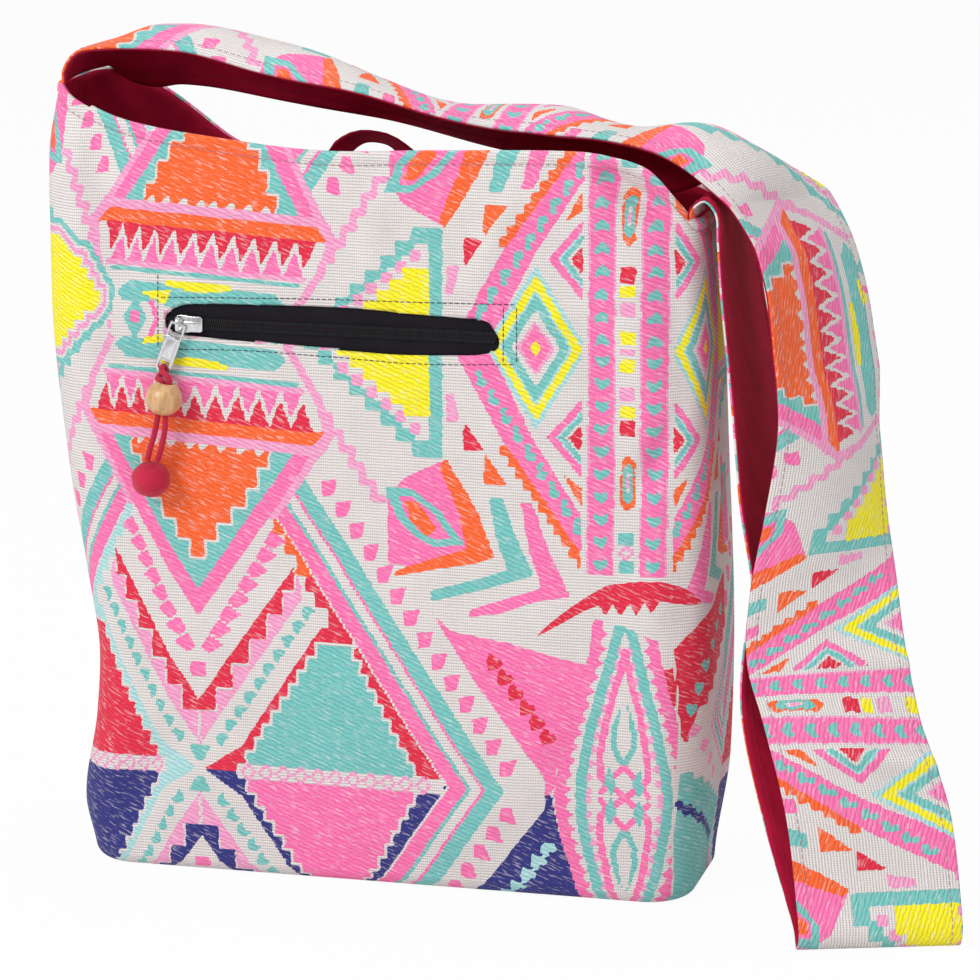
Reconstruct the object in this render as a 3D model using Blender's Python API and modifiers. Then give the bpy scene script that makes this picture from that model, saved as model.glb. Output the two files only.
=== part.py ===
# A soft shoulder bag of patterned cloth with a red lining. It stands on its flat base, its long strap has
# slipped off to the right and hangs to the ground in a doubled loop, and the front has a zipped pocket
# whose pull ends in a wooden bead and a knot. All sizes below are in millimetres; the model is in metres.
import math

import bmesh
import bpy
import numpy as np
from mathutils import Matrix, Vector

MM = 0.001

# Cloth layers
CLOTH = 1.0  # woven outer cloth
LINING = 0.6  # plain lining cloth
GAP = 0.3  # between neighbouring layers and pieces

# Body of the bag
BODY_WIDTH = 330.0  # the places across in the tables below are drawn for a bag of this width
ACROSS = BODY_WIDTH / 330.0
CORNER = 24.0  # radius of the four upright corners
BASE_ROUND = 6.0  # radius between the walls and the flat base
RELIEF_START = 24.0  # the soft relief of the walls fades out below this height
SEAM_Y = 3.0  # the side and base seams run just behind the middle
HEM_FOLD = 1.25  # outer radius of the fold along the mouth
HEM_DEPTH = 12.0  # how far the fold reaches down inside
LINING_DROP = 1.8  # the lining's upper edge lies this far under the fold
LEFT_WIDTH = [(0, 159), (30, 164), (75, 157), (105, 155), (150, 161), (200, 169), (290, 176.5),
              (355, 176.5), (392, 172.5)]
RIGHT_WIDTH = [(0, 149), (60, 156), (115, 157), (230, 153), (334, 150), (370, 148)]
FRONT_DEPTH = [(0, 46), (50, 48), (110, 48), (180, 47), (335, 47), (365, 45), (392, 42)]
BACK_DEPTH = [(0, 46), (80, 50), (180, 49), (300, 44), (340, 41), (392, 42)]
FRONT_TOP = [(-171, 391), (-160, 385), (-130, 375), (-96, 370), (-28, 364.5), (20, 366.5), (91, 368.5),
             (114, 365), (124, 358), (132, 347), (138, 338), (150, 336.5)]
BACK_TOP = [(-171, 391), (-148, 384), (-123, 369), (-100, 352.5), (-70, 342.5), (0, 338.5), (90, 338.5),
            (150, 336.5)]
LEFT_SIDE_TOP = 391.0
RIGHT_SIDE_TOP = 336.5
MOUTH_LEVEL = 350.0  # the walls' width here sets where each place on the mouth lies
FACE_STEPS = 14
CORNER_STEPS = 4
SIDE_STEPS = 2
WALL_ROWS = 13
POCKET_EASE = 4.8  # how much further in the front lining hangs, to leave room for the pocket
EASE_BOTTOM = (60.0, 105.0)  # the lining moves in between these heights
EASE_TOP = (348.0, 35.0)  # and is back against the wall at the first, over the second

# Soft relief of the walls: place across, place up, spread across, spread up, height (outward)
FRONT_RELIEF = [(25, 95, 70, 55, 4.0), (128, 250, 22, 90, -3.0), (122, 340, 18, 26, -5.0)]
BACK_RELIEF = [(0, 120, 90, 80, 6.0), (-60, 250, 50, 60, -3.0), (70, 270, 40, 60, 2.5)]

# Zip in the front panel
ZIP_X = -27.7 * ACROSS  # middle of the slot
ZIP_Z = 278.0
SLOT_LENGTH = 167.5
SLOT_HEIGHT = 19.0
SLOT_ROUND = 6.0
TAPE = 0.6
TAPE_WIDTH = 14.0
TAPE_MARGIN = 5.0  # the tapes and the pocket reach this far past the slot's ends
COIL_WIDTH = 2.3
COIL_THICK = 1.6
COIL_PARTING = 0.7  # half of the slit between the two coils
POCKET_DROP = 115.0
POCKET_CAVITY = 1.5
POCKET_WALL = 0.5
POCKET_WINDOW = 22.0

# Slider and its pull
SLIDER_LENGTH = 14.0
SLIDER_END = 5.45  # from the slot's end to the slider when the zip is closed
SLIDER_HEIGHT = 9.0
SLIDER_FRONT = 1.3
SLIDER_REAR = 1.0
SLIDER_POST = 0.8
POST_LENGTH = 3.0
BAIL_AT = 4.5  # the bail stands this far left of the slider's middle
BAIL_WINDOW = 2.7  # half of the opening under the bail
BAIL_WIRE = 1.4
PIVOT_RISE = 2.0  # the tab's bar lies this far in front of the slider
TAB_LEAN = math.radians(21)
TAB_BAR = 1.3
TAB_ARM = 1.2
TAB_WIDTH = 8.5
TAB_THICK = 1.6
TAB_LENGTH = 25.6
TAB_SHOULDER = 6.6
EYE_AT = 22.0
EYE_RADIUS = 2.2
RAIL = 2.0

# Cord, bead and knot, placed from the tab's eye
CORD = 2.4
CORD_PLANE = 5.4  # the bead's middle lies this far in front of the eye
BEAD_FROM_EYE = (1.7, -15.0)
KNOT_FROM_EYE = (-5.6, -55.7)
BEAD_RADIUS = 9.0
BEAD_HALF_HEIGHT = 8.2
BEAD_BORE = 3.3
BEAD_STEPS = 24
KNOT_RADII = (9.6, 9.0, 8.8)

# Strap
STRAP_WIDTH = 78.0
STRAP_STEP = 15.0
STRAP_TURN = 12.0  # two stations closer than this lie in a tight turn
STRAP_TURN_STEPS = 3
STRAP_ACROSS = 4
STRAP_SEAM = 0.9  # the strap's ends stand this far above the tops of the sides
STRAP_SLACK = 2.0  # how much spare width it takes before the strap crowns

# Loop on the back hem
LOOP_WIDTH = 11.0
LOOP_THICK = 1.2
LOOP_SPAN = 40.0
LOOP_X = -28.0 * ACROSS
LOOP_RISE = 21.0
LOOP_SEWN = 10.0
LOOP_LEAN = 5.0  # the arch leans this far towards the front
LOOP_TURN = 55.0  # and its strip turns this many degrees


def hermite(points, at):
    """A smooth curve through points (place, value), read at one place."""
    xs = [p[0] for p in points]
    ys = [p[1] for p in points]
    if at <= xs[0]:
        return float(ys[0])
    if at >= xs[-1]:
        return float(ys[-1])
    i = int(np.searchsorted(xs, at, side="right")) - 1
    slopes = [(ys[k + 1] - ys[k]) / (xs[k + 1] - xs[k]) for k in range(len(xs) - 1)]

    def bend(k):
        if k == 0 or k == len(xs) - 1 or slopes[k - 1] * slopes[k] <= 0:
            return 0.0
        return 2 * slopes[k - 1] * slopes[k] / (slopes[k - 1] + slopes[k])

    h = xs[i + 1] - xs[i]
    t = (at - xs[i]) / h
    return (
        (2 * t**3 - 3 * t**2 + 1) * ys[i]
        + (t**3 - 2 * t**2 + t) * h * bend(i)
        + (3 * t**2 - 2 * t**3) * ys[i + 1]
        + (t**3 - t**2) * h * bend(i + 1)
    )


def smooth_step(a, b, x):
    t = min(max((x - a) / (b - a), 0.0), 1.0)
    return t * t * (3 - 2 * t)


def relief(bumps, x, z):
    return sum(high * math.exp(-(((x - cx) / wx) ** 2) - ((z - cz) / wz) ** 2) for cx, cz, wx, wz, high in bumps)


def wall_point(side, place, z, inset):
    """A point of the front (side -1) or back (side 1) wall, at inset inside the outer face.

    place runs from 0 at the left seam to 1 at the right seam, over side, corner, face, corner and side.
    """
    depths = FRONT_DEPTH if side < 0 else BACK_DEPTH
    left = hermite(LEFT_WIDTH, z) * ACROSS - inset
    right = hermite(RIGHT_WIDTH, z) * ACROSS - inset
    deep = hermite(depths, z) - inset
    r = CORNER - min(inset, CORNER - 2)
    seam = SEAM_Y + side * GAP / 2
    if place <= 0.1:
        t = place / 0.1
        return -left, seam + (side * (deep - r) - seam) * t
    if place >= 0.9:
        t = (1 - place) / 0.1
        return right, seam + (side * (deep - r) - seam) * t
    if place < 0.2:
        a = (place - 0.1) / 0.1 * math.pi / 2
        return -left + r - r * math.cos(a), side * (deep - r + r * math.sin(a))
    if place > 0.8:
        a = (0.9 - place) / 0.1 * math.pi / 2
        return right - r + r * math.cos(a), side * (deep - r + r * math.sin(a))
    t = (place - 0.2) / 0.6
    x = -left + r + (right + left - 2 * r) * t
    return x, side * deep


def top_at(side, place):
    """Height of the mouth's edge above a place on the wall."""
    tops = FRONT_TOP if side < 0 else BACK_TOP
    if place < 0.2:
        x = wall_point(side, place, LEFT_SIDE_TOP, 0)[0]
        return LEFT_SIDE_TOP + (hermite(tops, x / ACROSS) - LEFT_SIDE_TOP) * smooth_step(0.0, 0.2, place)
    x = wall_point(side, place, MOUTH_LEVEL, 0)[0]
    if place > 0.8:
        return RIGHT_SIDE_TOP + (hermite(tops, x / ACROSS) - RIGHT_SIDE_TOP) * smooth_step(0.0, 0.2, 1 - place)
    return hermite(tops, x / ACROSS)


def places():
    """Stops along the wall, close together round the corners."""
    face, corner, half_side = round(FACE_STEPS), round(CORNER_STEPS), round(SIDE_STEPS)
    stops = [0.1 * k / half_side for k in range(half_side)]
    stops += [0.1 + 0.1 * k / corner for k in range(corner)]
    stops += [0.2 + 0.6 * k / face for k in range(face)]
    stops += [0.8 + 0.1 * k / corner for k in range(corner)]
    stops += [0.9 + 0.1 * k / half_side for k in range(half_side + 1)]
    return stops


def body_point(side, place, z, inset):
    """wall_point with the soft relief, which every layer at a place shares."""
    x, y = wall_point(side, place, z, inset)
    bumps = FRONT_RELIEF if side < 0 else BACK_RELIEF
    face = smooth_step(0.1, 0.2, place) * smooth_step(0.1, 0.2, 1 - place)
    outer_x = wall_point(side, place, z, 0)[0] / ACROSS
    y += side * face * relief(bumps, outer_x, z) * smooth_step(0, RELIEF_START, z)
    return Vector((x, y, z))


def lining_ease(side, place, z):
    """How much further in the front lining hangs over the pocket."""
    if side > 0:
        return 0.0
    across = smooth_step(0.14, 0.26, place) * smooth_step(0.14, 0.3, 1 - place)
    up = smooth_step(*EASE_BOTTOM, z) * smooth_step(0, EASE_TOP[1], EASE_TOP[0] - z)
    return POCKET_EASE * across * up


def new_object(name, mesh, colour, roughness, metallic=0.0):
    part = bpy.data.objects.new(name, mesh)
    parts.objects.link(part)
    finish = bpy.data.materials.new(name + "_finish")
    finish.use_nodes = True
    shader = finish.node_tree.nodes["Principled BSDF"]
    shader.inputs["Base Color"].default_value = (*colour, 1)
    shader.inputs["Roughness"].default_value = roughness
    shader.inputs["Metallic"].default_value = metallic
    mesh.materials.clear()
    mesh.materials.append(finish)
    return part


def grid_mesh(name, rows, flip=False, floor=False):
    """An open sheet through rows of points; floor closes the first row with one flat face."""
    mesh = bpy.data.meshes.new(name)
    bm = bmesh.new()
    grid = [[bm.verts.new(Vector(p) * MM) for p in row] for row in rows]
    for low, high in zip(grid, grid[1:]):
        for k in range(len(low) - 1):
            corner = [low[k], low[k + 1], high[k + 1], high[k]]
            bm.faces.new(corner[::-1] if flip else corner)
    if floor:
        ring = grid[0]
        bm.faces.new(ring if flip else ring[::-1])
    bm.normal_update()
    bm.to_mesh(mesh)
    bm.free()
    mesh.shade_smooth()
    return mesh


def thicken(part, thickness, offset):
    solid = part.modifiers.new("thickness", "SOLIDIFY")
    solid.thickness = thickness * MM
    solid.offset = offset
    solid.use_even_offset = True
    return solid


def cut(part, cutter):
    step = part.modifiers.new("cut", "BOOLEAN")
    step.operation = "DIFFERENCE"
    step.solver = "EXACT"
    step.object = cutter


def join(part, other):
    step = part.modifiers.new("join", "BOOLEAN")
    step.operation = "UNION"
    step.solver = "EXACT"
    step.object = other


def helper(name, mesh):
    """A cutter or an added shape, kept out of the parts."""
    tool = bpy.data.objects.new(name, mesh)
    cutters.objects.link(tool)
    tool.hide_render = True
    tool.display_type = "WIRE"
    return tool


def box_mesh(name, low, high, bevel=0.0, segments=2, upright=False):
    """A box between two corners; upright bevels only the edges that run along Y."""
    mesh = bpy.data.meshes.new(name)
    bm = bmesh.new()
    bmesh.ops.create_cube(bm, size=1)
    low, high = Vector(low) * MM, Vector(high) * MM
    for v in bm.verts:
        v.co = Vector((low[k] + (v.co[k] + 0.5) * (high[k] - low[k]) for k in range(3)))
    if bevel:
        edges = bm.edges[:]
        if upright:
            edges = [e for e in edges if abs((e.verts[0].co - e.verts[1].co).normalized().y) > 0.9]
        bmesh.ops.bevel(bm, geom=edges, offset=bevel * MM, segments=segments, affect="EDGES", profile=0.5)
    bm.to_mesh(mesh)
    bm.free()
    return mesh


def cylinder_mesh(name, radius, length, segments):
    """A cylinder along Z, centred on the origin."""
    mesh = bpy.data.meshes.new(name)
    bm = bmesh.new()
    bmesh.ops.create_cone(bm, cap_ends=True, segments=segments, radius1=radius * MM, radius2=radius * MM,
                          depth=length * MM)
    bm.to_mesh(mesh)
    bm.free()
    return mesh


def tube(name, points, diameter, resolution=2):
    curve = bpy.data.curves.new(name, "CURVE")
    curve.dimensions = "3D"
    line = curve.splines.new("POLY")
    line.points.add(len(points) - 1)
    for stop, p in zip(line.points, points):
        stop.co = (*(Vector(p) * MM), 1)
    curve.bevel_depth = diameter / 2 * MM
    curve.bevel_resolution = resolution
    curve.use_fill_caps = True
    return curve


def through(points, steps):
    """Points on a smooth line through the given points, with so many steps to each span."""
    pts = [Vector(p) for p in points]
    ends = [2 * pts[0] - pts[1]] + pts + [2 * pts[-1] - pts[-2]]
    knots = [0.0]
    for a, b in zip(ends, ends[1:]):
        knots.append(knots[-1] + max((b - a).length, 1e-6) ** 0.5)
    line = []
    for i in range(1, len(ends) - 2):
        for k in range(steps[i - 1]):
            t = knots[i] + (knots[i + 1] - knots[i]) * k / steps[i - 1]
            a1 = ends[i - 1].lerp(ends[i], (t - knots[i - 1]) / (knots[i] - knots[i - 1]))
            a2 = ends[i].lerp(ends[i + 1], (t - knots[i]) / (knots[i + 1] - knots[i]))
            a3 = ends[i + 1].lerp(ends[i + 2], (t - knots[i + 1]) / (knots[i + 2] - knots[i + 1]))
            b1 = a1.lerp(a2, (t - knots[i - 1]) / (knots[i + 1] - knots[i - 1]))
            b2 = a2.lerp(a3, (t - knots[i]) / (knots[i + 2] - knots[i]))
            line.append(b1.lerp(b2, (t - knots[i]) / (knots[i + 1] - knots[i])))
    line.append(pts[-1])
    return line


# The outer cloth: each panel wraps half of the sides and half of the base, and folds in at the mouth.
def row_height(side, place, k):
    """Height of the k-th row of a wall; the rows fan out to follow the mouth's edge."""
    if k == WALL_ROWS:
        return top_at(side, place) - HEM_FOLD
    return BASE_ROUND + (top_at(side, place) - HEM_DEPTH - BASE_ROUND) * k / (WALL_ROWS - 1)


def panel_rows(side):
    stops = places()
    rows = []
    for k in range(4):
        a = k / 4 * math.pi / 2
        z = BASE_ROUND * (1 - math.cos(a))
        rows.append([body_point(side, p, z, BASE_ROUND * (1 - math.sin(a))) for p in stops])
    for k in range(WALL_ROWS + 1):
        rows.append([body_point(side, p, row_height(side, p, k), 0) for p in stops])
    for turn in (60, 120, 180):
        a = math.radians(turn)
        row = []
        for p in stops:
            z = top_at(side, p) - HEM_FOLD + HEM_FOLD * math.sin(a)
            row.append(body_point(side, p, z, HEM_FOLD * (1 - math.cos(a))))
        rows.append(row)
    rows.append([body_point(side, p, top_at(side, p) - HEM_DEPTH, 2 * HEM_FOLD) for p in stops])
    return rows


def make_panel(name, side, colour):
    rows = panel_rows(side)
    panel = new_object(name, grid_mesh(name, rows, flip=side > 0, floor=True), colour, 0.85)
    thicken(panel, CLOTH, -1)
    return panel


# The lining hangs inside the outer cloth and stops just under the folded hem.
def make_lining(name, side):
    stops = places()
    inset = CLOTH + GAP
    rows = []
    for k in range(3):
        a = k / 3 * math.pi / 2
        z = inset + (BASE_ROUND - inset) * (1 - math.cos(a))
        rows.append([body_point(side, p, z, inset + (BASE_ROUND - inset) * (1 - math.sin(a))) for p in stops])
    for k in range(WALL_ROWS):
        row = []
        for p in stops:
            z = min(row_height(side, p, k), top_at(side, p) - HEM_DEPTH - LINING_DROP)
            point = body_point(side, p, z, inset)
            point.y -= side * lining_ease(side, p, z)
            row.append(point)
        rows.append(row)
    lining = new_object(name, grid_mesh(name, rows, flip=side > 0, floor=True), (0.26, 0.01, 0.03), 0.9)
    thicken(lining, LINING, -1)
    return lining


# The strap's two edges, from the top of the left side, over the mouth to the right, down to the ground,
# and back up to the top of the right side. Each pair is (front edge, back edge).
STRAP_EDGES = [
    ((-165, -38, LEFT_SIDE_TOP + STRAP_SEAM), (-165, 38, LEFT_SIDE_TOP + STRAP_SEAM)),
    ((-164.6, -38, 398), (-164.3, 38, 395.6)),
    ((-159, -37, 405.5), (-158.5, 38, 396)),
    ((-145, -33, 410), (-145, 35, 392)),
    ((-109, -31, 409), (-115, 31, 388)),
    ((-68, -30, 400), (-71, 30, 380)),
    ((-22, -30, 389), (-22, 30, 370)),
    ((22, -30, 381), (28, 30, 358)),
    ((66, -30, 376), (76, 30, 357)),
    ((105, -30, 372), (124, 32, 359)),
    ((136, -31, 364), (166, 34, 359)),
    ((156, -35, 352), (192, 35, 348.5)),
    ((170, -39, 334), (209, 34, 327)),
    ((181, -42, 309), (219, 31, 300)),
    ((187, -45, 276), (225, 25, 270)),
    ((193, -48, 241), (231, 14, 233)),
    ((188, -54, 199), (237, -1, 196)),
    ((181, -60, 162), (244, -17, 164)),
    ((181, -65, 130), (252, -36, 134)),
    ((190, -72, 106), (262, -50, 104)),
    ((204, -84, 62), (278, -60, 64)),
    ((211, -93, 24), (285.2, -69, 26)),
    ((213.6, -99.2, 8), (287.4, -73.9, 8)),
    ((211.6, -94.2, 1.6), (285.4, -68.9, 1.6)),
    ((209.6, -89.2, 8), (283.4, -63.9, 8)),
    ((203, -82, 24), (276, -54, 24)),
    ((192, -73, 53), (259, -32, 53)),
    ((179, -60, 94), (238, -8, 94)),
    ((176, -54, 121), (225, 5, 121)),
    ((178, -47, 166), (205, 24, 166)),
    ((173, -44, 203), (190, 32, 203)),
    ((168, -42, 250), (176, 36.5, 250)),
    ((162, -40, 302), (165, 38, 302)),
    ((160, -39.5, 327.5), (161, 38.5, 327.5)),
    ((158.6, -39, 341), (158.6, 39, 341)),
    ((152.5, -39, 347), (152.5, 39, 347)),
    ((146, -38.8, 342), (146, 38.8, 342)),
    ((145.5, -38.8, RIGHT_SIDE_TOP + STRAP_SEAM), (145.5, 38.8, RIGHT_SIDE_TOP + STRAP_SEAM)),
]


def strap_rows():
    """Rows of points across the strap, crowned where its edges are closer than its width."""
    edges = [(Vector((a[0] * ACROSS, *a[1:])), Vector((b[0] * ACROSS, *b[1:]))) for a, b in STRAP_EDGES]
    middles = [(a + b) / 2 for a, b in edges]
    steps = []
    for a, b in zip(middles, middles[1:]):
        far = (b - a).length
        steps.append(STRAP_TURN_STEPS if far < STRAP_TURN else max(2, round(far / STRAP_STEP)))
    front = through([e[0] for e in edges], steps)
    back = through([e[1] for e in edges], steps)
    rows = []
    for k, (a, b) in enumerate(zip(front, back)):
        middle = (a + b) / 2
        chord = b - a
        span = min(chord.length, STRAP_WIDTH)
        chord.normalize()
        before, after = max(k - 1, 0), min(k + 1, len(front) - 1)
        along = (front[after] + back[after] - front[before] - back[before]).normalized()
        out = along.cross(chord).normalized()
        spare = STRAP_WIDTH - span
        crown = math.sqrt(3 * span * spare / 8) * spare / (spare + STRAP_SLACK)
        row = []
        for n in range(STRAP_ACROSS + 1):
            u = 2 * n / STRAP_ACROSS - 1
            row.append(middle + chord * span * u / 2 + out * crown * (2 / 3 - u * u))
        rows.append(row)
    return rows


def make_strap(name, thickness, side, colour):
    """One layer of the strap, on the outer (side 1) or inner (side -1) face of the middle sheet."""
    mesh = grid_mesh(name, strap_rows(), flip=True)
    bm = bmesh.new()
    bm.from_mesh(mesh)
    bm.normal_update()
    shifts = [v.normal * side * GAP / 2 * MM for v in bm.verts]
    for v, shift in zip(bm.verts, shifts):
        v.co += shift
    bm.to_mesh(mesh)
    bm.free()
    strap = new_object(name, mesh, colour, 0.85)
    thicken(strap, thickness, side).use_even_offset = False


# The zip: a rounded slot in the front panel, two tapes behind it, a coil on each tape and the pocket bag.
FACE_Y = -hermite(FRONT_DEPTH, ZIP_Z)
TAPE_FRONT = FACE_Y + CLOTH + GAP
TAPE_REAR = TAPE_FRONT + TAPE
COIL_REAR = TAPE_FRONT - GAP
COIL_FRONT = COIL_REAR - COIL_THICK
ZIP_LEFT = ZIP_X - SLOT_LENGTH / 2 - TAPE_MARGIN
ZIP_RIGHT = ZIP_X + SLOT_LENGTH / 2 + TAPE_MARGIN


def make_zip():
    for name, way in (("zip_tape_upper", 1), ("zip_tape_lower", -1)):
        inner = ZIP_Z + way * COIL_PARTING
        outer = inner + way * TAPE_WIDTH
        low = (ZIP_LEFT, TAPE_FRONT, min(inner, outer))
        high = (ZIP_RIGHT, TAPE_REAR, max(inner, outer))
        new_object(name, box_mesh(name, low, high), (0.012, 0.012, 0.014), 0.9)
    for name, way in (("zip_coil_upper", 1), ("zip_coil_lower", -1)):
        inner = ZIP_Z + way * COIL_PARTING
        outer = inner + way * COIL_WIDTH
        low = (ZIP_LEFT + TAPE_MARGIN + 1, COIL_FRONT, min(inner, outer))
        high = (ZIP_RIGHT - TAPE_MARGIN - 1, COIL_REAR, max(inner, outer))
        new_object(name, box_mesh(name, low, high, bevel=0.4), (0.02, 0.02, 0.022), 0.5)
    front = TAPE_REAR + GAP
    rear = front + 2 * POCKET_WALL + POCKET_CAVITY
    top = ZIP_Z + COIL_PARTING + TAPE_WIDTH
    bottom = top - POCKET_DROP
    bag = new_object("pocket_bag", box_mesh("pocket_bag", (ZIP_LEFT, front, bottom), (ZIP_RIGHT, rear, top)),
                     (0.26, 0.01, 0.03), 0.9)
    inside = box_mesh(
        "pocket_inside",
        (ZIP_LEFT + POCKET_WALL, front + POCKET_WALL, bottom + POCKET_WALL),
        (ZIP_RIGHT - POCKET_WALL, rear - POCKET_WALL, top - POCKET_WALL),
    )
    cut(bag, helper("pocket_inside", inside))
    window = box_mesh(
        "pocket_window",
        (ZIP_X - SLOT_LENGTH / 2, front - 2, ZIP_Z - POCKET_WINDOW / 2),
        (ZIP_X + SLOT_LENGTH / 2, front + POCKET_WALL + POCKET_CAVITY / 2, ZIP_Z + POCKET_WINDOW / 2),
    )
    cut(bag, helper("pocket_window", window))


def slot_cutter():
    slot = box_mesh(
        "zip_slot",
        (ZIP_X - SLOT_LENGTH / 2, FACE_Y - 5, ZIP_Z - SLOT_HEIGHT / 2),
        (ZIP_X + SLOT_LENGTH / 2, FACE_Y + 5, ZIP_Z + SLOT_HEIGHT / 2),
        bevel=SLOT_ROUND,
        segments=4,
        upright=True,
    )
    return helper("zip_slot", slot)


SLIDER_X = ZIP_X - SLOT_LENGTH / 2 + SLIDER_END + SLIDER_LENGTH / 2
SLIDER_FACE = COIL_FRONT - GAP - SLIDER_FRONT
BAIL_X = SLIDER_X - BAIL_AT
PIVOT = Vector((BAIL_X, SLIDER_FACE - PIVOT_RISE, ZIP_Z))
EYE = PIVOT - Vector((math.sin(TAB_LEAN), 0, math.cos(TAB_LEAN))) * EYE_AT
STEEL = (0.55, 0.55, 0.56)


# Slider: a front and a rear plate joined by a thin post between the coils, and a bail for the tab.
def make_slider():
    left = SLIDER_X - SLIDER_LENGTH / 2
    right = SLIDER_X + SLIDER_LENGTH / 2
    half = SLIDER_HEIGHT / 2
    body = box_mesh("slider_body", (left, SLIDER_FACE, ZIP_Z - half),
                    (right, SLIDER_FACE + SLIDER_FRONT, ZIP_Z + half), bevel=0.5)
    slider = new_object("slider_body", body, STEEL, 0.25, 1.0)
    rear_front = TAPE_REAR + GAP
    post = box_mesh(
        "slider_post",
        (right - POST_LENGTH - 1, SLIDER_FACE + SLIDER_FRONT / 2, ZIP_Z - SLIDER_POST / 2),
        (right - 1, rear_front + SLIDER_REAR / 2, ZIP_Z + SLIDER_POST / 2),
    )
    join(slider, helper("slider_post", post))
    rear = box_mesh("slider_rear", (left + 1, rear_front, ZIP_Z - half + 1),
                    (right - 0.6, rear_front + SLIDER_REAR, ZIP_Z + half - 1), bevel=0.3)
    join(slider, helper("slider_rear", rear))
    reach = PIVOT_RISE + TAB_BAR / 2 + GAP + BAIL_WIRE
    outer = BAIL_WINDOW + BAIL_WIRE
    block = box_mesh("slider_bail", (BAIL_X - BAIL_WIRE / 2, SLIDER_FACE - reach, ZIP_Z - outer),
                     (BAIL_X + BAIL_WIRE / 2, SLIDER_FACE + SLIDER_FRONT / 2, ZIP_Z + outer), bevel=0.4)
    bail = helper("slider_bail", block)
    window = box_mesh("bail_window", (BAIL_X - 3, SLIDER_FACE - reach + BAIL_WIRE, ZIP_Z - BAIL_WINDOW),
                      (BAIL_X + 3, SLIDER_FACE, ZIP_Z + BAIL_WINDOW))
    cut(bail, helper("bail_window", window))
    join(slider, bail)


# Tab: a plate with two raised rails, an eye for the cord, and two arms to the bar under the bail.
def make_tab():
    half = TAB_WIDTH / 2
    frame = Matrix.Translation(PIVOT * MM) @ Matrix.Rotation(TAB_LEAN, 4, "Y")
    plate = box_mesh("pull_tab", (-half, -TAB_THICK / 2, -TAB_LENGTH), (half, TAB_THICK / 2, -TAB_SHOULDER),
                     bevel=1.6, segments=3, upright=True)
    tab = new_object("pull_tab", plate, STEEL, 0.25, 1.0)
    tab.matrix_world = frame
    pieces = []
    for way in (-1, 1):
        low, high = sorted((way * half, way * (half - TAB_ARM)))
        pieces.append(box_mesh("tab_arm", (low, -0.55, -TAB_SHOULDER - 2), (high, 0.55, 0)))
    bar = cylinder_mesh("tab_bar", TAB_BAR / 2, TAB_WIDTH, 12)
    bar.transform(Matrix.Rotation(math.pi / 2, 4, "Y"))
    pieces.append(bar)
    for mesh in pieces:
        piece = helper(mesh.name, mesh)
        piece.matrix_world = frame
        join(tab, piece)
    eye = cylinder_mesh("tab_eye", EYE_RADIUS, 10, 20)
    eye.transform(Matrix.Translation((0, 0, -EYE_AT * MM)) @ Matrix.Rotation(math.pi / 2, 4, "X"))
    recess = box_mesh("tab_recess", (-half + RAIL, -TAB_THICK, -EYE_AT + EYE_RADIUS + 1),
                      (half - RAIL, -TAB_THICK / 2 + 0.5, -TAB_SHOULDER - 2))
    for mesh in (eye, recess):
        cutter = helper(mesh.name, mesh)
        cutter.matrix_world = frame
        cut(tab, cutter)


BEAD_PLACE = EYE + Vector((BEAD_FROM_EYE[0], -CORD_PLANE, BEAD_FROM_EYE[1]))
KNOT_PLACE = EYE + Vector((KNOT_FROM_EYE[0], -CORD_PLANE, KNOT_FROM_EYE[1]))


def make_bead():
    """A wooden bead turned about its own bore, which leans along the cord."""
    lean = (BEAD_PLACE - KNOT_PLACE).normalized()
    profile = []
    rim_angle = math.acos(BEAD_BORE / BEAD_RADIUS)
    for k in range(BEAD_STEPS // 2 + 1):
        a = rim_angle - 2 * rim_angle * k / (BEAD_STEPS // 2)
        profile.append((BEAD_RADIUS * math.cos(a), BEAD_HALF_HEIGHT * math.sin(a)))
    mesh = bpy.data.meshes.new("pull_bead")
    bm = bmesh.new()
    ring = [bm.verts.new((x * MM, 0, z * MM)) for x, z in profile]
    for a, b in zip(ring, ring[1:] + ring[:1]):
        bm.edges.new((a, b))
    bm.to_mesh(mesh)
    bm.free()
    bead = new_object("pull_bead", mesh, (0.62, 0.36, 0.16), 0.45)
    turn = bead.modifiers.new("turn", "SCREW")
    turn.steps = BEAD_STEPS
    turn.render_steps = BEAD_STEPS
    turn.use_merge_vertices = True
    turn.merge_threshold = 0.000001
    bead.matrix_world = (Matrix.Translation(BEAD_PLACE * MM)
                         @ Vector((0, 0, 1)).rotation_difference(lean).to_matrix().to_4x4())


def make_cord():
    """The cord runs from the knot up through the bead, round the tab's eye, and back down."""
    route = [EYE + Vector(p) for p in CORD_ROUTE]
    curve = tube("cord_line", through(route, [2] * (len(route) - 1)), CORD)
    cord = bpy.data.objects.new("pull_cord", curve)
    parts.objects.link(cord)
    finish = bpy.data.materials.new("pull_cord_finish")
    finish.use_nodes = True
    shader = finish.node_tree.nodes["Principled BSDF"]
    shader.inputs["Base Color"].default_value = (0.5, 0.02, 0.05, 1)
    shader.inputs["Roughness"].default_value = 0.8
    curve.materials.append(finish)


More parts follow.
